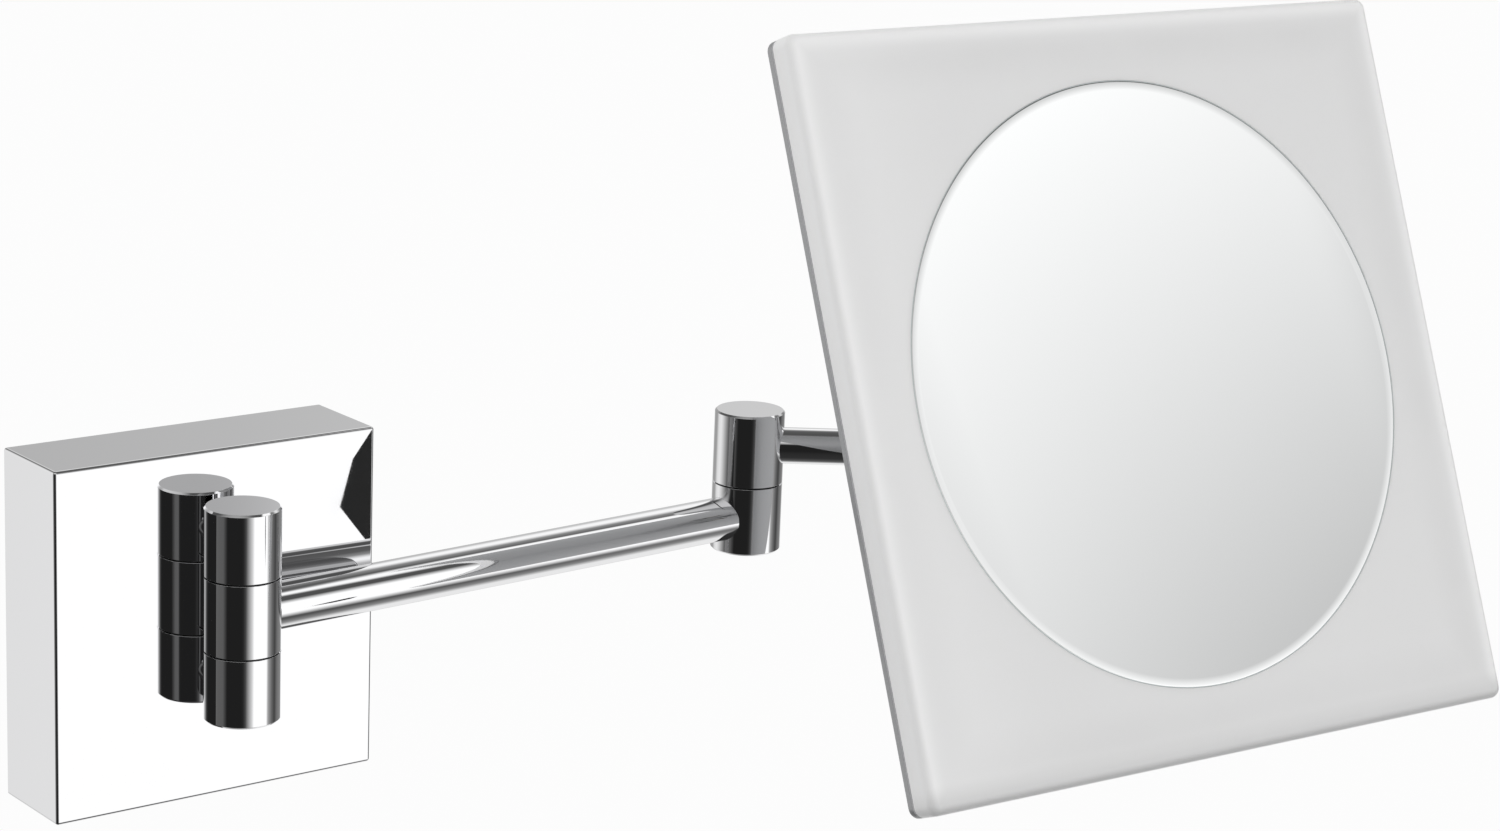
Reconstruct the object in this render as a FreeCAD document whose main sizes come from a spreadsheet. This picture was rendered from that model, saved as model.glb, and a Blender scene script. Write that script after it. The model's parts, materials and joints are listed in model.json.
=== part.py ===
import FreeCAD, Part

import os
import re

import Sketcher

# Extendable shaving mirror for a bathroom wall.
#
# Frame: +Z up, the wall is the plane Y = 0 and the mirror stands out towards -Y.
# The origin is the centre of the wall bracket's back face.
# All sizes are millimetres, all angles are degrees.
#
# Each sub-part is drawn in the frame of the body that carries it:
#   wall     the origin itself
#   arm      on the first hinge axis, X along the long arm, Z = 0 at the tube's axis
#   fore     on the elbow axis, X along the short rod, Z = 0 at the rod's axis
#   swivel   on the third hinge axis, X along the stub towards the mirror
#   head     on the tilt axis, X along the mirror's outward normal, Z up the mirror
# A cylinder or a turned part is along Z unless it is laid along X or Y.

DIMENSIONS = [
    # wall unit
    ("box_width", 90.0, "outer width of the chrome wall box"),
    ("box_height", 90.0, "outer height of the chrome wall box"),
    ("box_depth", 26.5, "from the wall to the box's front face"),
    ("box_wall", 3.0, "wall thickness of the box"),
    ("box_edge", 0.8, "radius on the box's outer edges"),
    ("bracket_gap", 7.0, "hidden steel bracket to the box's side walls"),
    ("bracket_sheet", 3.0, "thickness of the bracket's sheet"),
    ("bracket_play", 0.3, "play between the bracket's lips and the box"),
    ("lip_inset", 5.0, "end of each folded lip inside the bracket's side"),
    ("lip_depth", 17.0, "from the wall to the lip's free edge"),
    ("lip_sheet", 2.5, "thickness of each lip"),
    ("screw_inset", 10.0, "wall screws' holes inside the bracket's sides"),
    ("screw_pitch_up", 50.0, "wall screws, hole to hole up"),
    ("screw_hole", 5.4, "diameter of the wall screws' holes"),
    ("grub_diameter", 4.0, "grub screws that lock the box to the bracket"),
    ("grub_socket", 2.0, "hexagon of the grub screws, across corners"),
    ("grub_inset", 5.0, "grub screws inside the ends of the lip"),
    ("grub_from_wall", 11.0, "grub screws' distance from the wall"),
    ("grub_recess", 0.3, "grub screws below the box's underside"),
    # hinge barrels
    ("barrel_diameter", 19.2, "outer diameter of every knuckle"),
    ("barrel_edge", 0.5, "chamfer at the barrels' outer ends"),
    ("seam_edge", 0.2, "chamfer at the seams between knuckles"),
    ("barrel_gap", 2.1, "box's front face to the first barrel"),
    ("arm_height", 6.0, "long arm's axis above the box's centre"),
    ("fixed_knuckle", 17.6, "height of the two fixed knuckles"),
    ("arm_knuckle_height", 18.8, "height of the knuckles at the arm's ends"),
    ("fore_knuckle_height", 20.0, "height of the knuckles at the rod's ends"),
    ("swivel_knuckle_height", 21.0, "height of the knuckle that carries the stub"),
    ("seam", 0.4, "gap between two knuckles, filled by a washer"),
    ("seam_play", 0.1, "play of a washer in its seam"),
    ("washer_inset", 0.8, "washer's edge inside the barrel's"),
    ("crown", 4.0, "solid top of a blind knuckle"),
    # hinge pins
    ("pin_diameter", 8.0, "hinge pins"),
    ("bush_wall", 1.5, "wall of the hinge bushes"),
    ("running_play", 0.05, "radial play of a pin in its bush"),
    ("fixed_play", 0.02, "radial play of a piece that is fixed in its hole"),
    ("pin_edge", 0.3, "chamfer at the pins' ends"),
    ("pin_relief", 0.3, "pin's end to the blind bore's end"),
    ("cup_step", 0.8, "recess for spring, nut and plug, wider than the bush each side"),
    ("cup_play", 0.4, "spring's rim to the recess"),
    ("plug_height", 2.4, "plug that closes a recess"),
    ("slot_width", 1.6, "coin slot in a plug"),
    ("slot_depth", 1.0, "depth of that slot"),
    ("spring_sheet", 0.6, "thickness of the disc spring"),
    ("spring_height", 1.0, "disc spring under a lower knuckle"),
    ("nut_height", 3.6, "nut under a disc spring"),
    ("nut_gap", 0.55, "nut's corners to the recess"),
    ("nut_bore", 6.0, "thread of the nut and of the pin's end"),
    ("nut_play", 0.1, "play above and below the disc spring"),
    ("nut_lip", 0.6, "thread that stands out of the nut"),
    ("nut_clear", 0.2, "plug's clearance below the thread"),
    # posts between box and fixed knuckles
    ("post_diameter", 8.0, "posts that carry the fixed knuckles"),
    ("post_wall", 1.58, "wall between a post's end and the pin's hole"),
    ("post_nut_height", 5.0, "nut of a post inside the box"),
    ("post_nut_corners", 15.0, "that nut across its corners"),
    ("post_tail", 1.0, "post beyond its nut"),
    # long arm and short rod
    ("arm_length", 163.5, "first hinge axis to elbow axis"),
    ("tube_diameter", 12.0, "long arm's tube"),
    ("tube_wall", 1.2, "wall of that tube"),
    ("seat_wall", 1.1, "wall between a tube's or rod's end and the recess"),
    ("rod_length", 87.7, "elbow axis to third hinge axis"),
    ("rod_diameter", 10.0, "short rod and stub"),
    # swivel stub and tilt hinge
    ("stub_length", 18.0, "third hinge axis to tilt axis"),
    ("eye_diameter", 11.0, "eye of the stub and ears of the hub"),
    ("eye_width", 6.0, "width of the stub's eye"),
    ("ear_width", 4.0, "width of each ear"),
    ("tilt_washer", 0.5, "friction washers at the eye"),
    ("tilt_play", 0.1, "play of the tilt hinge, each side"),
    ("tilt_pin", 5.0, "diameter of the tilt bolt"),
    ("tilt_bush_wall", 0.8, "wall of the eye's bush"),
    ("bolt_head", 9.0, "head of the tilt bolt"),
    ("bolt_socket", 3.5, "hexagon socket in the bolt's head, across corners"),
    ("bolt_socket_depth", 1.2, "depth of that socket"),
    ("bolt_head_height", 2.4, "height of that head"),
    ("tilt_nut_corners", 9.2, "cap nut across its corners"),
    ("tilt_nut_height", 4.0, "hexagon of the cap nut"),
    ("tilt_thread", 3.5, "bolt's reach into the cap nut"),
    ("tilt_nut_crown", 1.2, "closed end of the cap nut"),
    ("neck_play", 0.4, "stub's round neck to the ears"),
    # mirror head
    ("tilt_depth", 21.0, "tilt axis to the mirror's front"),
    ("hub_diameter", 56.0, "round flange behind the mirror"),
    ("hub_thickness", 3.0, "thickness of that flange"),
    ("hub_screw_circle", 40.0, "hub screws' pitch circle"),
    ("hub_screw", 4.0, "diameter of the hub screws"),
    ("hub_screw_head", 7.4, "head of the hub screws"),
    ("hub_screw_head_height", 1.8, "height of that head"),
    ("hub_screw_tip", 0.2, "hub screw's end behind the back plate's front"),
    ("panel_side", 200.0, "side of the square panel and back plate"),
    ("plate_thickness", 2.0, "back plate"),
    ("corner_radius", 3.0, "corner radius of back plate and panel"),
    ("tape_thickness", 0.5, "bonding tape behind the panel"),
    ("tape_inset", 2.0, "tape's edge inside the panel's"),
    ("panel_thickness", 7.4, "frosted panel"),
    ("panel_edge", 2.5, "radius round the panel's front"),
    ("mirror_margin", 18.5, "frosted panel's edge to the round magnifying mirror"),
    ("mirror_play", 0.2, "radial play of the mirror in its seat"),
    ("mirror_thickness", 3.0, "mirror glass"),
    ("mirror_curve", 900.0, "radius of the concave face"),
    ("seat_depth", 3.8, "depth of the mirror's seat"),
    ("seat_width", 4.0, "width of the seat's floor"),
    ("glue_thickness", 0.55, "adhesive ring on the seat's floor"),
    ("glue_width", 2.3, "width of that ring"),
    # rest pose
    ("arm_heading", 2.87, "long arm from the X axis, towards the wall"),
    ("rod_heading", -35.37, "short rod from the X axis"),
    ("mirror_heading", -93.06, "mirror's normal from the X axis, seen from above"),
    ("mirror_tilt", 22.5, "mirror's normal above the horizon"),
]

OUTPUT_FOLDER = "parts"
SHEET = "Dimensions"
DIRECTIONS = {
    "x": "create(<<vector>>; 0; 1; 0); 90",
    "y": "create(<<vector>>; 1; 0; 0); -90",
    "z": "create(<<vector>>; 0; 0; 1); 0",
}
ALIASES = re.compile(r"\b(" + "|".join(name for name, _, _ in DIMENSIONS) + r")\b")

# Sizes that several sub-parts share, as expressions on the sheet.
BARREL = "barrel_diameter / 2"
PIN = "pin_diameter / 2"
PIN_HOLE = "pin_diameter / 2 + fixed_play"
BUSH = "pin_diameter / 2 + bush_wall"
CUP = f"({BUSH} + cup_step)"
SEAT = f"({CUP} + seat_wall)"
POST_END = f"({PIN_HOLE} + post_wall)"
BARREL_OUT = f"(box_depth + barrel_gap + {BARREL})"
BRACKET_WIDTH = "(box_width - 2 * box_wall - 2 * bracket_gap)"
LIP_WIDTH = f"({BRACKET_WIDTH} - 2 * lip_inset)"
SCREW_ACROSS = f"({BRACKET_WIDTH} / 2 - screw_inset)"
GRUB_ACROSS = f"({LIP_WIDTH} / 2 - grub_inset)"
THREAD_LENGTH = "(spring_height + 2 * nut_play + nut_height + nut_lip)"
CUP_DEPTH = f"({THREAD_LENGTH} + nut_clear + plug_height)"
PLATE_FRONT = "(tilt_depth - panel_thickness - tape_thickness)"
PLATE_BACK = f"({PLATE_FRONT} - plate_thickness)"
HUB_BACK = f"({PLATE_BACK} - hub_thickness)"
EAR_INNER = "(eye_width / 2 + tilt_washer + 2 * tilt_play)"
EAR_OUTER = f"({EAR_INNER} + ear_width)"
MIRROR = "(panel_side / 2 - mirror_margin)"
FIXED_RISE = "(arm_knuckle_height / 2 + seam)"
FIXED_MIDDLE = f"({FIXED_RISE} + fixed_knuckle / 2)"

doc = FreeCAD.newDocument("ShavingMirror")
sheet = doc.addObject("Spreadsheet::Sheet", SHEET)
nodes = []


def fill_sheet():
    """Writes the driving dimensions, one row each: name, value and note."""
    for row, (alias, value, note) in enumerate(DIMENSIONS, start=1):
        sheet.set(f"A{row}", alias)
        sheet.set(f"B{row}", str(value))
        sheet.set(f"C{row}", note)
        sheet.setAlias(f"B{row}", alias)
    doc.recompute()


def on_sheet(text):
    """Turns the bare names in an expression into cells of the sheet."""
    return ALIASES.sub(SHEET + r".\1", text)


def value_of(text):
    """The present value of an expression on the sheet."""
    return float(sheet.evalExpression(on_sheet(text)))


def bind(target, prop, text):
    """Binds one property to an expression on the sheet."""
    target.setExpression(prop, on_sheet(text))


def placement(at=("0", "0", "0"), along="z"):
    """Expression of a placement at a point, with the Z axis laid along a direction."""
    point = "create(<<vector>>; {}; {}; {})".format(*at)
    return f"create(<<placement>>; {point}; create(<<rotation>>; {DIRECTIONS[along]}))"


def body_frame(name, parent, at, axis, angle):
    """The local frame of a moving body, placed from the frame of the body before it."""
    system = doc.addObject("Part::LocalCoordinateSystem", name)
    point = "create(<<vector>>; {}; {}; {})".format(*at)
    turn = "create(<<rotation>>; create(<<vector>>; {}; {}; {}); {})".format(*axis, angle)
    local = f"create(<<placement>>; {point}; {turn})"
    bind(system, "Placement", f"{parent}.Placement * {local}" if parent else local)


def sub_part(shape, label, carrier, local=None):
    """Names a finished sub-part and puts it in its body's frame."""
    shape.Label = label
    place = f"{carrier}.Placement"
    bind(shape, "Placement", f"{place} * {local}" if local else place)
    nodes.append(shape)


# Part workbench: blanks, cutters and booleans


def cylinder(radius, length, at=("0", "0", "0"), along="z"):
    """A round blank or cutter."""
    solid = doc.addObject("Part::Cylinder", "Cylinder")
    bind(solid, "Radius", radius)
    bind(solid, "Height", length)
    bind(solid, "Placement", placement(at, along))
    return solid


def box(size, at):
    """A rectangular blank or cutter, from its lowest corner."""
    solid = doc.addObject("Part::Box", "Box")
    for prop, text in zip(("Length", "Width", "Height"), size):
        bind(solid, prop, text)
    bind(solid, "Placement", placement(at))
    return solid


def hexagon(corners, length, at=("0", "0", "0"), along="z"):
    """A hexagonal blank or cutter, sized across its corners."""
    solid = doc.addObject("Part::Prism", "Hexagon")
    solid.Polygon = 6
    bind(solid, "Circumradius", f"{corners} / 2")
    bind(solid, "Height", length)
    bind(solid, "Placement", placement(at, along))
    return solid


def sphere(radius, at):
    """A ball that cuts or bounds a curved face."""
    solid = doc.addObject("Part::Sphere", "Sphere")
    bind(solid, "Radius", radius)
    bind(solid, "Placement", placement(at))
    return solid


def joined(*solids):
    """One solid made of several."""
    union = doc.addObject("Part::MultiFuse", "Joined")
    union.Shapes = list(solids)
    return union


def cut(base, *tools):
    """A solid with others taken out of it."""
    result = doc.addObject("Part::Cut", "Cut")
    result.Base = base
    result.Tool = tools[0] if len(tools) == 1 else joined(*tools)
    return result


def common(base, tool):
    """The part that two solids share."""
    result = doc.addObject("Part::Common", "Common")
    result.Base = base
    result.Tool = tool
    return result


def group(*solids):
    """Separate solids that share one node."""
    compound = doc.addObject("Part::Compound", "Group")
    compound.Links = list(solids)
    return compound


# PartDesign workbench: padded, turned and drilled bodies


def sketch_on(body, role):
    """An empty sketch on one of a body's own base planes."""
    sketch = body.newObject("Sketcher::SketchObject", "Sketch")
    plane = next(item for item in body.Origin.OriginFeatures if item.Role == role)
    sketch.AttachmentSupport = [(plane, "")]
    sketch.MapMode = "FlatFace"
    return sketch


def add_outline(sketch, corners):
    """Draws a closed outline of straight lines through points in millimetres."""
    for start, end in zip(corners, corners[1:] + corners[:1]):
        line = Part.LineSegment(FreeCAD.Vector(*start, 0), FreeCAD.Vector(*end, 0))
        sketch.addGeometry(line, False)
    count = len(corners)
    for side in range(count):
        joint = Sketcher.Constraint("Coincident", side, 2, (side + 1) % count, 1)
        sketch.addConstraint(joint)


def dimension(sketch, kind, where, text):
    """Adds a dimension to a sketch and binds it to the sheet."""
    index = sketch.addConstraint(Sketcher.Constraint(kind, *where, value_of(text)))
    bind(sketch, f"Constraints[{index}]", text)


def rectangle(sketch, width, height):
    """A rectangle centred on the sketch's origin."""
    half_width = value_of(width) / 2
    half_height = value_of(height) / 2
    low_left = (-half_width, -half_height)
    low_right = (half_width, -half_height)
    high_right = (half_width, half_height)
    high_left = (-half_width, half_height)
    add_outline(sketch, [low_left, low_right, high_right, high_left])
    for side in (0, 2):
        sketch.addConstraint(Sketcher.Constraint("Horizontal", side))
        sketch.addConstraint(Sketcher.Constraint("Vertical", side + 1))
    sketch.addConstraint(Sketcher.Constraint("Symmetric", 0, 1, 2, 1, -1, 1))
    dimension(sketch, "DistanceX", (0, 1, 0, 2), width)
    dimension(sketch, "DistanceY", (1, 1, 1, 2), height)


def pad(body, sketch, length):
    """Pads a sketch along its normal."""
    feature = body.newObject("PartDesign::Pad", "Pad")
    feature.Profile = sketch
    bind(feature, "Length", length)
    doc.recompute()
    return feature


def turned(label, profile):
    """A body turned about Z from its half section, a list of (radius, height)."""
    body = doc.addObject("PartDesign::Body", label)
    sketch = sketch_on(body, "XZ_Plane")
    add_outline(sketch, [(value_of(radius), value_of(height)) for radius, height in profile])
    for corner, (radius, height) in enumerate(profile):
        if radius == "0":
            sketch.addConstraint(Sketcher.Constraint("PointOnObject", corner, 1, -2))
        else:
            dimension(sketch, "DistanceX", (-1, 1, corner, 1), radius)
        if height == "0":
            sketch.addConstraint(Sketcher.Constraint("PointOnObject", corner, 1, -1))
        else:
            dimension(sketch, "DistanceY", (-1, 1, corner, 1), height)
    feature = body.newObject("PartDesign::Revolution", "Revolution")
    feature.Profile = sketch
    feature.ReferenceAxis = (sketch, ["V_Axis"])
    feature.Angle = 360
    doc.recompute()
    return body


def bore(body, radius, length, at=("0", "0", "0"), along="z"):
    """Takes a round hole out of a body and checks that it cut something."""
    before = body.Shape.Volume
    hole = body.newObject("PartDesign::SubtractiveCylinder", "Bore")
    bind(hole, "Radius", radius)
    bind(hole, "Height", length)
    bind(hole, "Placement", placement(at, along))
    doc.recompute()
    if body.Shape.Volume >= before:
        raise RuntimeError(f"a hole in {body.Name} cut nothing")


def rounded(body, radius, wanted):
    """Rounds the edges of a body's last feature that a test picks."""
    base = body.Tip
    names = [
        f"Edge{number}"
        for number, edge in enumerate(base.Shape.Edges, start=1)
        if wanted(edge.BoundBox)
    ]
    fillet = body.newObject("PartDesign::Fillet", "Fillet")
    fillet.Base = (base, names)
    bind(fillet, "Radius", radius)
    doc.recompute()


# Wall unit: bracket, box, posts and the two fixed knuckles


def make_bracket():
    """Folded steel bracket that the box slides over."""
    height = "(box_height - 2 * box_wall - 2 * bracket_play)"
    sheet_at = (f"-{BRACKET_WIDTH} / 2", "-bracket_sheet", f"-{height} / 2")
    blank = [box((BRACKET_WIDTH, "bracket_sheet", height), sheet_at)]
    for low_edge in (f"-{height} / 2", f"{height} / 2 - lip_sheet"):
        lip_at = (f"-{LIP_WIDTH} / 2", "-lip_depth", low_edge)
        blank.append(box((LIP_WIDTH, "lip_depth", "lip_sheet"), lip_at))
    holes = [
        cylinder("screw_hole / 2", "bracket_sheet + 2", (across, "-bracket_sheet - 1", up), "y")
        for across in (f"-{SCREW_ACROSS}", SCREW_ACROSS)
        for up in ("-screw_pitch_up / 2", "screw_pitch_up / 2")
    ]
    sub_part(cut(joined(*blank), *holes), "wall_bracket", "WallFrame")


def make_box():
    """Chrome wall box, open towards the wall."""
    body = doc.addObject("PartDesign::Body", "WallBox")
    outline = sketch_on(body, "XZ_Plane")
    rectangle(outline, "box_width", "box_height")
    pad(body, outline, "box_depth")
    rounded(body, "box_edge", lambda bounds: bounds.YMin < -1)
    cavity = sketch_on(body, "XZ_Plane")
    rectangle(cavity, "box_width - 2 * box_wall", "box_height - 2 * box_wall")
    before = body.Shape.Volume
    pocket = body.newObject("PartDesign::Pocket", "Pocket")
    pocket.Profile = cavity
    pocket.Reversed = True
    bind(pocket, "Length", "box_depth - box_wall")
    doc.recompute()
    if body.Shape.Volume >= before:
        raise RuntimeError("the wall box was not hollowed")
    for side in ("", "-"):
        post_at = ("0", "-box_depth - 1", f"arm_height + {side}{FIXED_MIDDLE}")
        bore(body, "post_diameter / 2 + fixed_play", "box_wall + 2", post_at, "y")
        grub_at = (f"{side}{GRUB_ACROSS}", "-grub_from_wall", "-box_height / 2 - 1")
        bore(body, "grub_diameter / 2 + fixed_play", "box_wall + 2", grub_at)
    sub_part(body, "wall_box", "WallFrame")


def make_grub_screws():
    """Two grub screws in the box's underside that press on the bracket's lower lip."""
    low = "-box_height / 2 + grub_recess"
    length = "(box_wall + bracket_play - grub_recess)"
    screws = []
    for side in ("", "-"):
        at = (f"{side}{GRUB_ACROSS}", "-grub_from_wall", low)
        socket_depth = f"{length} / 2"
        blank = cylinder("grub_diameter / 2", length, at)
        screws.append(cut(blank, hexagon("grub_socket", socket_depth, at)))
    sub_part(group(*screws), "grub_screws", "WallFrame")


def make_posts():
    """The two posts that carry the fixed knuckles, and their nuts inside the box."""
    front = f"-({BARREL_OUT} - {POST_END})"
    nut_front = "-(box_depth - box_wall)"
    length = f"({nut_front} - {front} + post_nut_height + post_tail)"
    nuts = []
    for name, side in (("upper_post", ""), ("lower_post", "-")):
        up = f"arm_height + {side}{FIXED_MIDDLE}"
        post = cylinder("post_diameter / 2", length)
        sub_part(post, name, "WallFrame", placement(("0", front, up), "y"))
        nut_at = ("0", nut_front, up)
        blank = hexagon("post_nut_corners", "post_nut_height", nut_at, "y")
        thread = cylinder("post_diameter / 2 + fixed_play", "post_nut_height", nut_at, "y")
        nuts.append(cut(blank, thread))
    sub_part(group(*nuts), "post_nuts", "WallFrame")


# Knuckles, pins and bushes: turned parts that stand on their lower face


def barrel_outside(height, low_edge, high_edge):
    """Outer half section of a knuckle, from its lower to its upper face."""
    return [
        (f"{BARREL} - {low_edge}", "0"),
        (BARREL, low_edge),
        (BARREL, f"{height} - {high_edge}"),
        (f"{BARREL} - {high_edge}", height),
    ]


def blind_inside(height):
    """Inner half section of a knuckle with a closed crown."""
    floor = f"{height} - crown"
    return [("0", height), ("0", floor), (PIN_HOLE, floor), (PIN_HOLE, "0")]


def stepped_inside(height, hole, recess_depth):
    """Inner half section of a knuckle with a recess below its bore."""
    return [(hole, height), (hole, recess_depth), (CUP, recess_depth), (CUP, "0")]


def socket(body, radius, height, side):
    """Takes the seat of a tube or rod out of a knuckle's side."""
    start = SEAT if side == "" else f"-({BARREL} + 1)"
    bore(body, radius, f"{BARREL} + 1 - {SEAT}", (start, "0", f"{height} / 2"), "x")


def ring(label, inner, outer, height):
    """A plain round bush or washer."""
    return turned(label, [(inner, "0"), (outer, "0"), (outer, height), (inner, height)])


def plug(label):
    """Round cover with a coin slot, for the recess under a knuckle."""
    radius = f"{CUP} - fixed_play"
    slot_at = (f"-{CUP}", "-slot_width / 2", "0")
    slot = box((f"2 * {CUP}", "slot_width", "slot_depth"), slot_at)
    return cut(cylinder(radius, "plug_height"), slot)


def make_wall_hinge():
    """The two fixed knuckles, their pin, its cover and the washers of the first barrel."""
    post_hole = "post_diameter / 2 + fixed_play"
    post_depth = f"{BARREL} + 1 - {POST_END}"
    post_at = ("0", POST_END, "fixed_knuckle / 2")
    upper_low = f"arm_height + {FIXED_RISE}"
    lower_low = f"arm_height - {FIXED_RISE} - fixed_knuckle"

    def place(height):
        return placement(("0", f"-{BARREL_OUT}", height))

    outside = barrel_outside("fixed_knuckle", "seam_edge", "barrel_edge")
    upper = turned("upper_wall_knuckle", outside + blind_inside("fixed_knuckle"))
    bore(upper, post_hole, post_depth, post_at, "y")
    sub_part(upper, "upper_wall_knuckle", "WallFrame", place(upper_low))

    outside = barrel_outside("fixed_knuckle", "barrel_edge", "seam_edge")
    inside = stepped_inside("fixed_knuckle", PIN_HOLE, "plug_height")
    lower = turned("lower_wall_knuckle", outside + inside)
    bore(lower, post_hole, post_depth, post_at, "y")
    sub_part(lower, "lower_wall_knuckle", "WallFrame", place(lower_low))

    sub_part(plug("wall_pin_plug"), "wall_pin_plug", "WallFrame", place(lower_low))
    pin_low = f"{lower_low} + plug_height + pin_relief"
    pin_high = f"{upper_low} + fixed_knuckle - crown - pin_relief"
    pin = straight_pin("wall_pin", f"({pin_high} - ({pin_low}))")
    sub_part(pin, "wall_pin", "WallFrame", place(pin_low))
    seams = {
        "upper_swing_washer": f"{upper_low} - seam + seam_play / 2",
        "lower_swing_washer": f"arm_height - {FIXED_RISE} + seam_play / 2",
    }
    for name, height in seams.items():
        sub_part(seam_washer(name), name, "WallFrame", place(height))


def straight_pin(label, length):
    """A plain pin with broken edges."""
    profile = [
        ("0", "0"),
        (f"{PIN} - pin_edge", "0"),
        (PIN, "pin_edge"),
        (PIN, f"{length} - pin_edge"),
        (f"{PIN} - pin_edge", length),
        ("0", length),
    ]
    return turned(label, profile)


def threaded_pin(label, length):
    """A pin with a thinner threaded end for the spring and the nut."""
    thread = "nut_bore / 2"
    profile = [
        ("0", "0"),
        (f"{thread} - pin_edge", "0"),
        (thread, "pin_edge"),
        (thread, THREAD_LENGTH),
        (PIN, THREAD_LENGTH),
        (PIN, f"{length} - pin_edge"),
        (f"{PIN} - pin_edge", length),
        ("0", length),
    ]
    return turned(label, profile)


def seam_washer(label):
    """The thin washer that parts two knuckles."""
    outer = f"{BARREL} - washer_inset"
    return ring(label, f"{PIN} + running_play", outer, "seam - seam_play")


def bush(label, length):
    """Plain bearing that the pin turns in."""
    return ring(label, f"{PIN} + running_play", BUSH, length)


def make_arm():
    """The long arm: its bearing knuckle on the wall unit and its tube."""
    height = "arm_knuckle_height"
    low = placement(("0", "0", f"-{height} / 2"))
    hole = f"{BUSH} + fixed_play"
    outside = barrel_outside(height, "seam_edge", "seam_edge")
    knuckle = turned("arm_knuckle", outside + [(hole, height), (hole, "0")])
    socket(knuckle, "tube_diameter / 2 + fixed_play", height, "")
    sub_part(knuckle, "arm_knuckle", "ArmFrame", low)
    sub_part(bush("arm_bush", height), "arm_bush", "ArmFrame", low)
    length = f"arm_length - 2 * {SEAT}"
    at = (SEAT, "0", "0")
    outer = cylinder("tube_diameter / 2", length, at, "x")
    hollow = cylinder("tube_diameter / 2 - tube_wall", length, at, "x")
    sub_part(cut(outer, hollow), "arm_tube", "ArmFrame")


def make_rod():
    """The short rod between the second and third barrel."""
    rod = cylinder("rod_diameter / 2", f"rod_length - 2 * {SEAT}")
    sub_part(rod, "fore_rod", "ForeFrame", placement((SEAT, "0", "0"), "x"))


def make_friction_hinge(name, lower, upper):
    """A barrel whose upper knuckle turns on the lower one against a spring and a nut.

    lower and upper each give a body frame, the barrel's place along it, the
    knuckle's height, and the diameter of the rod that meets it.
    """
    lower_frame, lower_x, lower_height, lower_rod = lower
    upper_frame, upper_x, upper_height, upper_rod = upper
    bottom = f"(-{lower_height} / 2)"
    hinge_foot = f"(-{upper_height} / 2 - seam - {lower_height})"

    def on_lower(rise):
        return placement((lower_x, "0", f"{bottom} + {rise}"))

    def on_upper(rise):
        return placement((upper_x, "0", f"{hinge_foot} + {rise}"))

    hole = f"{BUSH} + fixed_play"
    outside = barrel_outside(lower_height, "barrel_edge", "seam_edge")
    inside = stepped_inside(lower_height, hole, CUP_DEPTH)
    low_knuckle = turned(f"{name}_lower_knuckle", outside + inside)
    socket(low_knuckle, f"{lower_rod} / 2 + fixed_play", lower_height, "-")
    sub_part(low_knuckle, f"{name}_lower_knuckle", lower_frame, on_lower("0"))
    bearing = bush(f"{name}_bush", f"{lower_height} - {CUP_DEPTH}")
    sub_part(bearing, f"{name}_bush", lower_frame, on_lower(CUP_DEPTH))
    sub_part(plug(f"{name}_plug"), f"{name}_plug", lower_frame, on_lower("0"))
    washer_rise = f"{lower_height} + seam_play / 2"
    washer = seam_washer(f"{name}_washer")
    sub_part(washer, f"{name}_washer", lower_frame, on_lower(washer_rise))

    outside = barrel_outside(upper_height, "seam_edge", "barrel_edge")
    high_knuckle = turned(f"{name}_upper_knuckle", outside + blind_inside(upper_height))
    socket(high_knuckle, f"{upper_rod} / 2 + fixed_play", upper_height, "")
    rise = f"{lower_height} + seam"
    sub_part(high_knuckle, f"{name}_upper_knuckle", upper_frame, on_upper(rise))
    pin_low = "plug_height + nut_clear"
    pin_top = f"{lower_height} + seam + {upper_height} - crown - pin_relief"
    pin = threaded_pin(f"{name}_pin", f"({pin_top} - ({pin_low}))")
    sub_part(pin, f"{name}_pin", upper_frame, on_upper(pin_low))
    nut_low = "plug_height + nut_clear + nut_lip"
    nut = cut(
        hexagon(f"(2 * ({CUP} - nut_gap))", "nut_height"),
        cylinder("nut_bore / 2 + fixed_play", "nut_height"),
    )
    sub_part(nut, f"{name}_nut", upper_frame, on_upper(nut_low))
    inner = "nut_bore / 2 + running_play"
    outer = f"{CUP} - cup_play"
    spring_profile = [
        (inner, "0"),
        (outer, "spring_height - spring_sheet"),
        (outer, "spring_height"),
        (inner, "spring_sheet"),
    ]
    spring = turned(f"{name}_spring", spring_profile)
    spring_low = f"{nut_low} + nut_height + nut_play"
    sub_part(spring, f"{name}_spring", upper_frame, on_upper(spring_low))


# Swivel and mirror head: the tilt hinge and the panel


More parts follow.
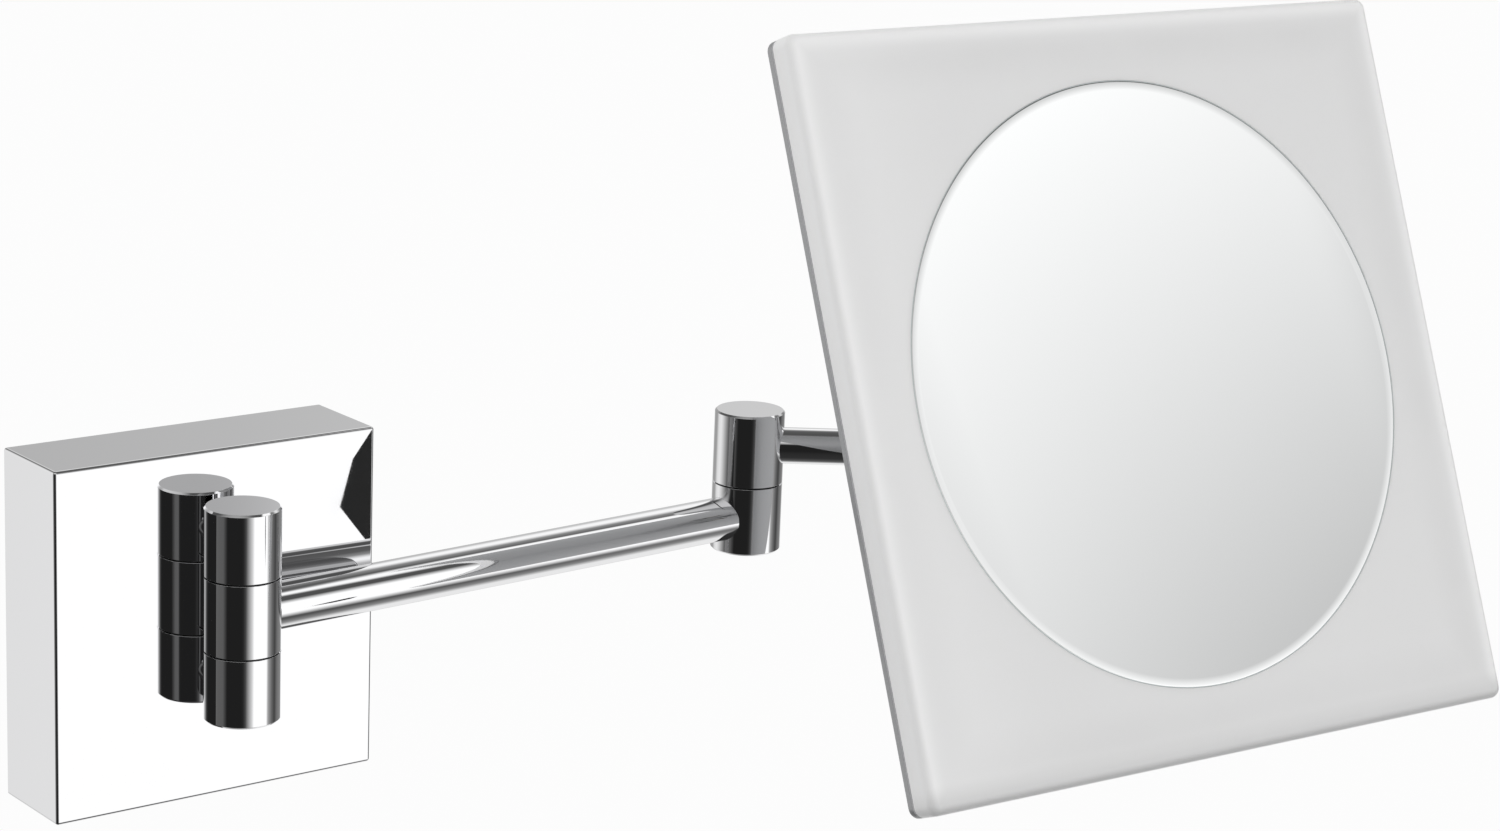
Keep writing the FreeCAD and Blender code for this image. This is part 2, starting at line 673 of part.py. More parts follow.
def make_swivel():
    """The stub with its flattened eye, and the bush in the eye."""
    eye = "eye_diameter / 2"
    neck_end = f"stub_length - {eye} - neck_play"
    neck = cylinder("rod_diameter / 2", f"{neck_end} - {SEAT}", (SEAT, "0", "0"), "x")
    overlap = "neck_play"
    tongue_at = (f"{neck_end} - {overlap}", "0", "0")
    tongue_length = f"{eye} + neck_play + {overlap}"
    flat_at = (tongue_at[0], "-eye_width / 2", "-rod_diameter / 2")
    tongue = common(
        cylinder("rod_diameter / 2", tongue_length, tongue_at, "x"),
        box((tongue_length, "eye_width", "rod_diameter"), flat_at),
    )
    disc_at = ("stub_length", "-eye_width / 2", "0")
    disc = cylinder(eye, "eye_width", disc_at, "y")
    bush_outer = "(tilt_pin / 2 + tilt_bush_wall)"
    hole_at = ("stub_length", "-eye_width / 2 - 1", "0")
    hole = cylinder(f"{bush_outer} + fixed_play", "eye_width + 2", hole_at, "y")
    sub_part(cut(joined(neck, tongue, disc), hole), "swivel_stub", "SwivelFrame")
    bush_at = placement(disc_at, "y")
    bearing = ring("tilt_bush", "tilt_pin / 2 + running_play", bush_outer, "eye_width")
    sub_part(bearing, "tilt_bush", "SwivelFrame", bush_at)


def screw_places():
    """Places of the hub's screws across the panel, as pairs of expressions."""
    arm = "hub_screw_circle / 2 * cos(45)"
    return [(f"{across}{arm}", f"{up}{arm}") for across in ("", "-") for up in ("", "-")]


def make_hub():
    """The flange behind the panel, with two ears round the tilt hinge."""
    eye = "eye_diameter / 2"
    solids = [cylinder("hub_diameter / 2", "hub_thickness", (HUB_BACK, "0", "0"), "x")]
    for low_side in (EAR_INNER, f"-{EAR_OUTER}"):
        solids.append(cylinder(eye, "ear_width", ("0", low_side, "0"), "y"))
        block = (f"{HUB_BACK} + hub_thickness / 2", "ear_width", "eye_diameter")
        solids.append(box(block, ("0", low_side, f"-{eye}")))
    bolt_at = ("0", f"-{EAR_OUTER} - 1", "0")
    tools = [cylinder("tilt_pin / 2 + fixed_play", f"2 * {EAR_OUTER} + 2", bolt_at, "y")]
    for across, up in screw_places():
        hole_at = (f"{HUB_BACK} - 1", across, up)
        tools.append(cylinder("hub_screw / 2 + fixed_play", "hub_thickness + 2", hole_at, "x"))
    sub_part(cut(joined(*solids), *tools), "hub", "HeadFrame")


def make_hub_screws():
    """Four pan-head screws that hold the hub to the back plate."""
    screws = []
    for across, up in screw_places():
        head_at = (f"{HUB_BACK} - hub_screw_head_height", across, up)
        head = cylinder("hub_screw_head / 2", "hub_screw_head_height", head_at, "x")
        reach = "hub_screw_head_height + hub_thickness + plate_thickness - hub_screw_tip"
        shank = cylinder("hub_screw / 2", reach, head_at, "x")
        screws.append(joined(head, shank))
    sub_part(group(*screws), "hub_screws", "HeadFrame")


def make_tilt_hinge():
    """Bolt, cap nut and washers of the tilt hinge."""
    head_at = ("0", f"-{EAR_OUTER} - bolt_head_height", "0")
    head = cylinder("bolt_head / 2", "bolt_head_height", head_at, "y")
    shank_length = f"bolt_head_height + 2 * {EAR_OUTER} + tilt_thread"
    shank = cylinder("tilt_pin / 2", shank_length, head_at, "y")
    key = hexagon("bolt_socket", "bolt_socket_depth", head_at, "y")
    sub_part(cut(joined(head, shank), key), "tilt_bolt", "HeadFrame")

    nut_at = ("0", EAR_OUTER, "0")
    nut = hexagon("tilt_nut_corners", "tilt_nut_height", nut_at, "y")
    dome_radius = "tilt_nut_corners / 2 * cos(30) - fixed_play"
    dome_at = ("0", f"{EAR_OUTER} + tilt_nut_height / 2", "0")
    dome = cylinder(dome_radius, "tilt_nut_height / 2 + tilt_nut_crown", dome_at, "y")
    thread = cylinder("tilt_pin / 2 + fixed_play", "tilt_nut_height", nut_at, "y")
    sub_part(cut(joined(nut, dome), thread), "tilt_nut", "HeadFrame")

    washers = []
    for low_side in ("eye_width / 2 + tilt_play", f"-({EAR_INNER} - tilt_play)"):
        at = ("0", low_side, "0")
        blank = cylinder("eye_diameter / 2 - washer_inset", "tilt_washer", at, "y")
        hole = cylinder("tilt_pin / 2 + fixed_play", "tilt_washer", at, "y")
        washers.append(cut(blank, hole))
    sub_part(group(*washers), "tilt_washers", "HeadFrame")


def slab(label, side, thickness, corner):
    """A square body that lies across X, with rounded corners."""
    body = doc.addObject("PartDesign::Body", label)
    outline = sketch_on(body, "YZ_Plane")
    rectangle(outline, side, side)
    pad(body, outline, thickness)
    rounded(body, corner, lambda bounds: bounds.XLength > bounds.DiagonalLength / 2)
    return body


def make_back_plate():
    """Steel plate behind the panel, tapped for the hub's screws."""
    plate = slab("back_plate", "panel_side", "plate_thickness", "corner_radius")
    for across, up in screw_places():
        bore(plate, "hub_screw / 2 + fixed_play", "plate_thickness + 2", ("-1", across, up), "x")
    sub_part(plate, "back_plate", "HeadFrame", placement((PLATE_BACK, "0", "0")))


def make_panel():
    """Frosted panel with a stepped round opening that seats the mirror."""
    tape_side = "panel_side - 2 * tape_inset"
    opening = f"{MIRROR} + mirror_play - seat_width"
    tape = slab("bonding_tape", tape_side, "tape_thickness", "corner_radius - tape_inset / 2")
    bore(tape, f"{opening} + tape_inset", "tape_thickness + 2", ("-1", "0", "0"), "x")
    sub_part(tape, "bonding_tape", "HeadFrame", placement((PLATE_FRONT, "0", "0")))

    panel = slab("frosted_panel", "panel_side", "panel_thickness", "corner_radius")
    front = value_of("panel_thickness")
    rounded(panel, "panel_edge", lambda bounds: bounds.XMin > front / 2)
    bore(panel, opening, "panel_thickness + 2", ("-1", "0", "0"), "x")
    seat_at = ("panel_thickness - seat_depth", "0", "0")
    bore(panel, f"{MIRROR} + mirror_play", "seat_depth + 1", seat_at, "x")
    panel_back = placement((f"{PLATE_FRONT} + tape_thickness", "0", "0"))
    sub_part(panel, "frosted_panel", "HeadFrame", panel_back)


def make_mirror():
    """Concave mirror glass and the ring of adhesive that holds it."""
    seat_floor = "tilt_depth - seat_depth"
    glue = ring("glass_adhesive", f"{MIRROR} - glue_width", MIRROR, "glue_thickness")
    sub_part(glue, "glass_adhesive", "HeadFrame", placement((seat_floor, "0", "0"), "x"))
    focus = f"tilt_depth + sqrt(mirror_curve * mirror_curve - {MIRROR} * {MIRROR})"
    blank_depth = "(seat_depth + plate_thickness + mirror_thickness)"
    blank_at = (f"tilt_depth - {blank_depth}", "0", "0")
    blank = cylinder(MIRROR, blank_depth, blank_at, "x")
    centre = (focus, "0", "0")
    dished = common(blank, sphere("mirror_curve + mirror_thickness", centre))
    glass = cut(dished, sphere("mirror_curve", centre))
    sub_part(glass, "mirror_glass", "HeadFrame")


def check_shapes():
    """Stops the build if any object failed or any sub-part isn't a good solid."""
    for item in doc.Objects:
        if "Invalid" in item.State or "Error" in item.State:
            raise RuntimeError(f"{item.Name} failed: {item.State}")
    for node in nodes:
        if node.Shape.isNull() or not node.Shape.isValid() or not node.Shape.Solids:
            raise RuntimeError(f"{node.Label} is not a good solid")


fill_sheet()
body_frame("WallFrame", None, ("0", "0", "0"), (0, 0, 1), "0")
barrel_at = ("0", f"-{BARREL_OUT}", "arm_height")
body_frame("ArmFrame", "WallFrame", barrel_at, (0, 0, 1), "arm_heading")
elbow_at = ("arm_length", "0", "arm_knuckle_height / 2 + seam + fore_knuckle_height / 2")
body_frame("ForeFrame", "ArmFrame", elbow_at, (0, 0, 1), "rod_heading - arm_heading")
head_at = ("rod_length", "0", "fore_knuckle_height / 2 + seam + swivel_knuckle_height / 2")
body_frame("SwivelFrame", "ForeFrame", head_at, (0, 0, 1), "mirror_heading - rod_heading")
tilt_at = ("stub_length", "0", "0")
body_frame("HeadFrame", "SwivelFrame", tilt_at, (0, 1, 0), "-mirror_tilt")

make_bracket()
make_box()
make_grub_screws()
make_posts()
make_wall_hinge()
make_arm()
make_friction_hinge(
    "elbow",
    ("ArmFrame", "arm_length", "arm_knuckle_height", "tube_diameter"),
    ("ForeFrame", "0", "fore_knuckle_height", "rod_diameter"),
)
make_rod()
make_friction_hinge(
    "head",
    ("ForeFrame", "rod_length", "fore_knuckle_height", "rod_diameter"),
    ("SwivelFrame", "0", "swivel_knuckle_height", "rod_diameter"),
)
make_swivel()
make_hub()
make_hub_screws()
make_tilt_hinge()
make_back_plate()
make_panel()
make_mirror()

doc.recompute()
check_shapes()
os.makedirs(OUTPUT_FOLDER, exist_ok=True)
for node in nodes:
    node.Shape.exportStep(os.path.join(OUTPUT_FOLDER, f"{node.Label}.step"))
print(f"{len(nodes)} sub-parts written")
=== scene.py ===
"""The looks of an extendable shaving mirror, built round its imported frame.

A chrome box on the wall carries a hinge barrel, a long tube, a second barrel, a short rod and
a third barrel. A square frosted panel with a round concave glass tilts on the last one.

Every sub-assembly models its pieces in millimetres on the axes of the body that carries it,
and lay() then brings each mesh to metres at its place in the frame.
"""

import json
import logging
import math
from dataclasses import dataclass
from enum import Enum
from typing import Callable, Iterator, Sequence

import bmesh
import bpy
from mathutils import Euler, Matrix, Vector


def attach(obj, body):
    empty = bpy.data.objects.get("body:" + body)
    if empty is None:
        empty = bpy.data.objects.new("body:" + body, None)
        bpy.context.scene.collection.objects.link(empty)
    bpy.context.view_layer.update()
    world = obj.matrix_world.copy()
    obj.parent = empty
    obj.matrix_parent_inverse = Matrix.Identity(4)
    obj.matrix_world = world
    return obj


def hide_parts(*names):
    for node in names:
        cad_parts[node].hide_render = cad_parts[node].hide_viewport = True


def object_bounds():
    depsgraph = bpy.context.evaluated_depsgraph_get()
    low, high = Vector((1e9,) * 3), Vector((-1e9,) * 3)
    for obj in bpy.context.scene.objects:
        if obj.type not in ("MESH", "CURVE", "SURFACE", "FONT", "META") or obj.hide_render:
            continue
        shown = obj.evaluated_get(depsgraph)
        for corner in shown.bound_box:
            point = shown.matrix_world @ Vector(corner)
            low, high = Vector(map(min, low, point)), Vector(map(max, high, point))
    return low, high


LOG = logging.getLogger("shaving_mirror")
MILLIMETRE = 0.001

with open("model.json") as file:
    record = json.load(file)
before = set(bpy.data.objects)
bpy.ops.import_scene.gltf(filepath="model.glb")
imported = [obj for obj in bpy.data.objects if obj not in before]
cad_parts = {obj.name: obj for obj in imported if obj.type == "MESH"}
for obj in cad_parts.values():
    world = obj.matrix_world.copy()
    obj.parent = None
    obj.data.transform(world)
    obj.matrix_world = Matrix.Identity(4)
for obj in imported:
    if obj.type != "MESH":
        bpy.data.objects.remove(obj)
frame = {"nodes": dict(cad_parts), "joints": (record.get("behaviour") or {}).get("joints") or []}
CAD_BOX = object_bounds()

Outline = Sequence[tuple[float, float]]
Place = tuple[float, float, float]
Socket = bpy.types.NodeSocket
ORIGIN: Place = (0.0, 0.0, 0.0)


class Axis(Enum):
    """The direction that a round primitive is laid along, as its turn from Z."""

    X = (0.0, math.pi / 2, 0.0)
    Y = (-math.pi / 2, 0.0, 0.0)
    Z = (0.0, 0.0, 0.0)


class Element(Enum):
    """What an edit-mode selection is made of."""

    VERTEX = "VERT"
    EDGE = "EDGE"
    FACE = "FACE"


class Cut(Enum):
    """How a second mesh acts on a piece."""

    SUBTRACT = "DIFFERENCE"
    JOIN = "UNION"
    SHARE = "INTERSECT"


# The frame's own places


@dataclass(frozen=True)
class BodyAxes:
    """Axes of one moving body: X along the part, Z up its hinge."""

    origin: Vector
    heading: float = 0.0
    tilt: float = 0.0

    @property
    def matrix(self) -> Matrix:
        """The turn and shift from the body's axes to the frame, in metres."""
        turn = Matrix.Rotation(self.heading, 4, "Z") @ Matrix.Rotation(-self.tilt, 4, "Y")
        return Matrix.Translation(self.origin) @ turn


def joint_place(name: str) -> Vector:
    """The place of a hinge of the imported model, in metres."""
    joint = next(row for row in frame["joints"] if row["name"] == name)
    return Vector(joint["pos_m"])


def heading_between(start: Vector, end: Vector) -> float:
    """The angle from +X of the level line from one hinge to the next, in radians."""
    step = end - start
    return math.atan2(step.y, step.x)


MIRROR_TILT = math.radians(22.5)
ARM_HINGE = joint_place("arm_swing")
ELBOW_HINGE = joint_place("elbow_swing")
HEAD_HINGE = joint_place("head_swing")
TILT_HINGE = joint_place("head_tilt")
MIRROR_HEADING = heading_between(HEAD_HINGE, TILT_HINGE)

WALL_AXES = BodyAxes(Vector(ORIGIN))
ARM_AXES = BodyAxes(ARM_HINGE, heading_between(ARM_HINGE, ELBOW_HINGE))
ROD_AXES = BodyAxes(ELBOW_HINGE, heading_between(ELBOW_HINGE, HEAD_HINGE))
SWIVEL_AXES = BodyAxes(HEAD_HINGE, MIRROR_HEADING)
HEAD_AXES = BodyAxes(TILT_HINGE, MIRROR_HEADING, MIRROR_TILT)


def level_distance(start: Vector, end: Vector) -> float:
    """The level distance between two hinges, in millimetres."""
    step = end - start
    return math.hypot(step.x, step.y) / MILLIMETRE


# Bench tools: every piece starts as a primitive and is shaped by these


def activate(piece: bpy.types.Object) -> None:
    """Makes a piece the only selected and the active object."""
    bpy.ops.object.select_all(action="DESELECT")
    piece.select_set(True)
    bpy.context.view_layer.objects.active = piece


def start_piece(name: str) -> bpy.types.Object:
    """Names the primitive that was just added and settles its turn in its mesh.

    Args:
        name: The name of the piece.

    Returns:
        The named object, unturned and unscaled at the origin.
    """
    piece = bpy.context.object
    piece.name = name
    activate(piece)
    bpy.ops.object.transform_apply(location=True, rotation=True, scale=True)
    return piece


def round_blank(
    name: str, radius: float, length: float, start: Place, axis: Axis, sides: int = 128
) -> bpy.types.Object:
    """Adds a cylinder that starts at a place and runs along an axis.

    Args:
        name: The name of the piece.
        radius: The cylinder's radius.
        length: Its length.
        start: The centre of its first end.
        axis: The direction that it runs in.
        sides: How many sides stand for the round.

    Returns:
        The new piece.
    """
    along = {Axis.X: Vector((1, 0, 0)), Axis.Y: Vector((0, 1, 0)), Axis.Z: Vector((0, 0, 1))}
    centre = Vector(start) + along[axis] * (length / 2)
    bpy.ops.object.select_all(action="DESELECT")
    bpy.ops.mesh.primitive_cylinder_add(
        vertices=sides, radius=radius, depth=length, location=centre, rotation=axis.value
    )
    return start_piece(name)


def block(name: str, low: Place, high: Place) -> bpy.types.Object:
    """Adds a rectangular blank between two corners.

    Args:
        name: The name of the piece.
        low: Its lowest corner.
        high: Its highest corner.

    Returns:
        The new piece.
    """
    middle = [(a + b) / 2 for a, b in zip(low, high)]
    size = [b - a for a, b in zip(low, high)]
    bpy.ops.object.select_all(action="DESELECT")
    bpy.ops.mesh.primitive_cube_add(size=1, location=middle, scale=size)
    return start_piece(name)


def turned(name: str, outline: Outline, sides: int = 128) -> bpy.types.Object:
    """Turns a half section round Z, as on a lathe.

    The outline is traced by extruding one vertex from point to point. It is closed by an
    edge, unless both its ends lie on the axis.

    Args:
        name: The name of the piece.
        outline: The points of the half section, as (radius, height).
        sides: How many sides stand for the round.

    Returns:
        The turned piece.
    """
    bpy.ops.object.select_all(action="DESELECT")
    bpy.ops.mesh.primitive_plane_add(size=1, location=ORIGIN)
    piece = start_piece(name)
    bpy.ops.object.mode_set(mode="EDIT")
    bpy.ops.mesh.select_mode(type=Element.VERTEX.value)
    bpy.ops.mesh.select_all(action="SELECT")
    bpy.ops.mesh.merge(type="CENTER")
    bpy.ops.transform.translate(value=(outline[0][0], 0.0, outline[0][1]))
    for (radius, height), (next_radius, next_height) in zip(outline, outline[1:]):
        step = (next_radius - radius, 0.0, next_height - height)
        bpy.ops.mesh.extrude_region_move(TRANSFORM_OT_translate={"value": step})
    if outline[0][0] > 0 or outline[-1][0] > 0:
        ends = [Vector((radius, 0.0, height)) for radius, height in (outline[0], outline[-1])]
        pick(piece, Element.VERTEX, lambda vertex: min((vertex.co - end).length for end in ends) < 1e-4)
        bpy.ops.mesh.edge_face_add()
    bpy.ops.mesh.select_all(action="SELECT")
    bpy.ops.mesh.spin(steps=sides, angle=math.tau, center=ORIGIN, axis=(0, 0, 1))
    bpy.ops.mesh.select_all(action="SELECT")
    bpy.ops.mesh.remove_doubles(threshold=1e-4)
    bpy.ops.mesh.normals_make_consistent(inside=False)
    bpy.ops.object.mode_set(mode="OBJECT")
    return piece


def pick(piece: bpy.types.Object, element: Element, wanted: Callable[..., bool]) -> None:
    """Selects, in edit mode, the elements of a piece that a test accepts.

    Args:
        piece: The piece that is being edited.
        element: Whether vertices, edges or faces are picked.
        wanted: A test that is given each element.
    """
    bpy.ops.mesh.select_mode(type=element.value)
    bpy.ops.mesh.select_all(action="DESELECT")
    mesh = bmesh.from_edit_mesh(piece.data)
    groups = {Element.VERTEX: mesh.verts, Element.EDGE: mesh.edges, Element.FACE: mesh.faces}
    for item in groups[element]:
        if wanted(item):
            item.select_set(True)
    mesh.select_flush_mode()
    bmesh.update_edit_mesh(piece.data)


def bevel_picked(
    piece: bpy.types.Object, wanted: Callable[..., bool], radius: float, segments: int
) -> None:
    """Rounds the edges of a piece that a test accepts.

    Args:
        piece: The piece to shape.
        wanted: A test that is given each edge.
        radius: The radius of the rounding.
        segments: How many faces make the round.
    """
    activate(piece)
    bpy.ops.object.mode_set(mode="EDIT")
    pick(piece, Element.EDGE, wanted)
    bpy.ops.mesh.bevel(offset=radius, segments=segments, profile=0.5, affect="EDGES")
    bpy.ops.object.mode_set(mode="OBJECT")


def apply_modifier(piece: bpy.types.Object, kind: str, **settings: object) -> None:
    """Adds a modifier with its settings to a piece and applies it.

    Args:
        piece: The piece to change.
        kind: The modifier's type.
        settings: Its properties.
    """
    activate(piece)
    modifier = piece.modifiers.new(kind.title(), kind)
    for name, value in settings.items():
        setattr(modifier, name, value)
    bpy.ops.object.modifier_apply(modifier=modifier.name)


def soften(piece: bpy.types.Object, radius: float, segments: int = 2, angle: float = 40.0) -> None:
    """Breaks every sharp edge of a piece with a small radius.

    Args:
        piece: The piece to shape.
        radius: The width of the broken edge.
        segments: How many faces make the round.
        angle: The angle in degrees past which an edge counts as sharp.
    """
    apply_modifier(
        piece,
        "BEVEL",
        width=radius,
        segments=segments,
        limit_method="ANGLE",
        angle_limit=math.radians(angle),
        use_clamp_overlap=True,
    )


def combine(piece: bpy.types.Object, tool: bpy.types.Object, how: Cut) -> None:
    """Cuts or joins a piece with a second mesh, which is used up.

    Args:
        piece: The piece to change.
        tool: The mesh that acts on it.
        how: What the tool does.
    """
    apply_modifier(piece, "BOOLEAN", operation=how.value, object=tool, solver="EXACT")
    bpy.data.objects.remove(tool)


def copied(piece: bpy.types.Object, name: str, shift: Place) -> bpy.types.Object:
    """Copies a piece with a mesh of its own.

    Args:
        piece: The piece to repeat.
        name: The name of the copy.
        shift: Where the copy lies from the original.

    Returns:
        The copy.
    """
    activate(piece)
    bpy.ops.object.duplicate(linked=False)
    twin = bpy.context.object
    twin.name = name
    twin.data.transform(Matrix.Translation(shift))
    return twin


def merged(pieces: Sequence[bpy.types.Object]) -> bpy.types.Object:
    """Joins several meshes into the first one, which is returned."""
    bpy.ops.object.select_all(action="DESELECT")
    for piece in pieces:
        piece.select_set(True)
    bpy.context.view_layer.objects.active = pieces[0]
    bpy.ops.object.join()
    return pieces[0]


def shade(piece: bpy.types.Object, angle: float = 35.0) -> None:
    """Shades a piece smooth, with flat faces kept flat up to their rounded edges.

    Args:
        piece: The piece to shade.
        angle: The angle in degrees past which an edge stays sharp.
    """
    activate(piece)
    bpy.ops.object.shade_smooth_by_angle(angle=math.radians(angle))
    apply_modifier(piece, "WEIGHTED_NORMAL", mode="FACE_AREA", keep_sharp=True, weight=50)


# Finishes


def linear(hex_text: str) -> tuple[float, float, float, float]:
    """Turns an sRGB hex colour into linear light.

    Args:
        hex_text: Six hex digits.

    Returns:
        Red, green, blue and a full alpha.
    """
    channels = [int(hex_text[place : place + 2], 16) / 255 for place in (0, 2, 4)]
    light = [c / 12.92 if c <= 0.04045 else ((c + 0.055) / 1.055) ** 2.4 for c in channels]
    return (light[0], light[1], light[2], 1.0)


def add_node(
    tree: bpy.types.NodeTree, kind: str, inputs: dict[str | int, object], **settings: object
) -> bpy.types.Node:
    """Adds a node with its settings, and sets or links its inputs.

    Args:
        tree: The node tree.
        kind: The node's type.
        inputs: A value to set or a socket to link, by input name or number.
        settings: The node's own properties.

    Returns:
        The new node.
    """
    node = tree.nodes.new(kind)
    for name, value in settings.items():
        setattr(node, name, value)
    for name, value in inputs.items():
        if isinstance(value, Socket):
            tree.links.new(value, node.inputs[name])
        else:
            node.inputs[name].default_value = value
    return node


def place_of(tree: bpy.types.NodeTree, axes: BodyAxes) -> Socket:
    """The point being shaded, in millimetres on a body's own axes at rest.

    Args:
        tree: The material's node tree.
        axes: The body's axes.

    Returns:
        The socket that holds the point.
    """
    point = add_node(tree, "ShaderNodeTexCoord", {}).outputs["Object"]
    turn = axes.matrix.to_euler()
    scale = (MILLIMETRE, MILLIMETRE, MILLIMETRE)
    inputs = {"Vector": point, "Location": axes.origin, "Rotation": turn, "Scale": scale}
    return add_node(tree, "ShaderNodeMapping", inputs, vector_type="TEXTURE").outputs[0]


def maths(tree: bpy.types.NodeTree, operation: str, *values: object) -> Socket:
    """One arithmetic step between sockets or numbers, as a socket."""
    return add_node(tree, "ShaderNodeMath", dict(enumerate(values)), operation=operation).outputs[0]


def blend(tree: bpy.types.NodeTree, share: Socket, first: object, second: object) -> Socket:
    """Mixes two colours by a share of the second.

    Args:
        tree: The node tree.
        share: How much of the second colour shows.
        first: A colour or a socket.
        second: A colour or a socket.

    Returns:
        The mixed colour.
    """
    inputs = {0: share, 6: first, 7: second}
    return add_node(tree, "ShaderNodeMix", inputs, data_type="RGBA").outputs[2]


def graded(
    tree: bpy.types.NodeTree, value: Socket, low: float, high: float, out_low: float, out_high: float
) -> Socket:
    """Eases a value from one range into another, and holds it at the ends.

    Args:
        tree: The node tree.
        value: The value to map.
        low: Where the change starts.
        high: Where it ends.
        out_low: The result at and before the start.
        out_high: The result at and past the end.

    Returns:
        The eased value.
    """
    inputs = {"Value": value, 1: low, 2: high, 3: out_low, 4: out_high}
    node = add_node(tree, "ShaderNodeMapRange", inputs, interpolation_type="SMOOTHSTEP")
    return node.outputs[0]


@dataclass(frozen=True)
class Finish:
    """The surface of one real material, made once and shared by its pieces."""

    name: str
    axes: BodyAxes = WALL_AXES

    def material(self) -> bpy.types.Material:
        """The finish as a Blender material."""
        known = bpy.data.materials.get(self.name)
        if known:
            return known
        material = bpy.data.materials.new(self.name)
        material.use_nodes = True
        tree = material.node_tree
        self.dress(tree, tree.nodes["Principled BSDF"])
        return material

    def dress(self, tree: bpy.types.NodeTree, shader: bpy.types.Node) -> None:
        """Sets the shader up; each finish has its own."""
        raise NotImplementedError

    def grain(
        self, tree: bpy.types.NodeTree, size_mm: float, detail: float = 3.0, stretch: Place = (1.0, 1.0, 1.0)
    ) -> Socket:
        """Uneven grain of a real size, from 0 to 1.

        Args:
            tree: The material's node tree.
            size_mm: The size of one blot.
            detail: How many finer layers it has.
            stretch: How much finer the grain is along each of the body's axes.

        Returns:
            The grain's strength.
        """
        place = place_of(tree, self.axes)
        scaled = add_node(tree, "ShaderNodeMapping", {"Vector": place, "Scale": stretch}).outputs[0]
        inputs = {"Vector": scaled, "Scale": 1 / size_mm, "Detail": detail}
        return add_node(tree, "ShaderNodeTexNoise", inputs).outputs["Fac"]

    def relief(self, tree: bpy.types.NodeTree, height: Socket, depth_mm: float) -> Socket:
        """A bump of a real depth, as a normal for the shader."""
        inputs = {"Height": height, "Strength": 1.0, "Distance": depth_mm * MILLIMETRE}
        return add_node(tree, "ShaderNodeBump", inputs).outputs[0]


@dataclass(frozen=True)
class PolishedChrome(Finish):
    """Decorative chrome plate over polished brass.

    A mirror with a faint cool cast. The buffed brass below leaves a slow ripple some 14 mm
    long, and handling leaves smudges that blur the reflection a little.
    """

    metal: str = "FAFAFB"
    smudge_mm: float = 18.0
    ripple_mm: float = 14.0
    ripple_depth_mm: float = 0.002
    blur: tuple[float, float] = (0.008, 0.04)

    def dress(self, tree: bpy.types.NodeTree, shader: bpy.types.Node) -> None:
        """Sets the shader up as mirror plate with smudges."""
        smudges = self.grain(tree, self.smudge_mm, 4.0)
        blur = graded(tree, smudges, 0.48, 0.75, *self.blur)
        ripple = self.relief(tree, self.grain(tree, self.ripple_mm, 0.0), self.ripple_depth_mm)
        shader.inputs["Base Color"].default_value = linear(self.metal)
        shader.inputs["Metallic"].default_value = 1.0
        tree.links.new(blur, shader.inputs["Roughness"])
        tree.links.new(ripple, shader.inputs["Normal"])


@dataclass(frozen=True)
class PlainMetal(Finish):
    """A working metal that is turned, rolled or plated and not polished.

    Its grain sets both the tone and the blur, and leaves a shallow relief.
    """

    light: str = "C9CCCE"
    dark: str = "A9ADB0"
    grain_mm: float = 1.2
    stretch: Place = (1.0, 1.0, 1.0)
    blur: tuple[float, float] = (0.28, 0.42)
    relief_mm: float = 0.004
    bare: float = 1.0

    def dress(self, tree: bpy.types.NodeTree, shader: bpy.types.Node) -> None:
        """Sets the shader up from the metal's grain."""
        grain = self.grain(tree, self.grain_mm, 4.0, self.stretch)
        share = graded(tree, grain, 0.3, 0.7, 0.0, 1.0)
        tone = blend(tree, share, linear(self.dark), linear(self.light))
        shader.inputs["Metallic"].default_value = self.bare
        tree.links.new(tone, shader.inputs["Base Color"])
        tree.links.new(graded(tree, grain, 0.3, 0.7, *self.blur), shader.inputs["Roughness"])
        tree.links.new(self.relief(tree, grain, self.relief_mm), shader.inputs["Normal"])


@dataclass(frozen=True)
class PlainPlastic(Finish):
    """A moulded or foamed plastic with a fine matt skin.

    A soft even tone with a slight mottle, and a shallow skin texture that breaks its gloss.
    """

    light: str = "D8D9D8"
    dark: str = "CDCECD"
    grain_mm: float = 0.6
    blur: float = 0.5
    relief_mm: float = 0.01
    glow: float = 0.0

    def dress(self, tree: bpy.types.NodeTree, shader: bpy.types.Node) -> None:
        """Sets the shader up from the plastic's skin."""
        shader.inputs["Emission Color"].default_value = linear(self.light)
        shader.inputs["Emission Strength"].default_value = self.glow
        skin = self.grain(tree, self.grain_mm, 2.0)
        tone = blend(tree, skin, linear(self.dark), linear(self.light))
        shader.inputs["Roughness"].default_value = self.blur
        tree.links.new(tone, shader.inputs["Base Color"])
        tree.links.new(self.relief(tree, skin, self.relief_mm), shader.inputs["Normal"])


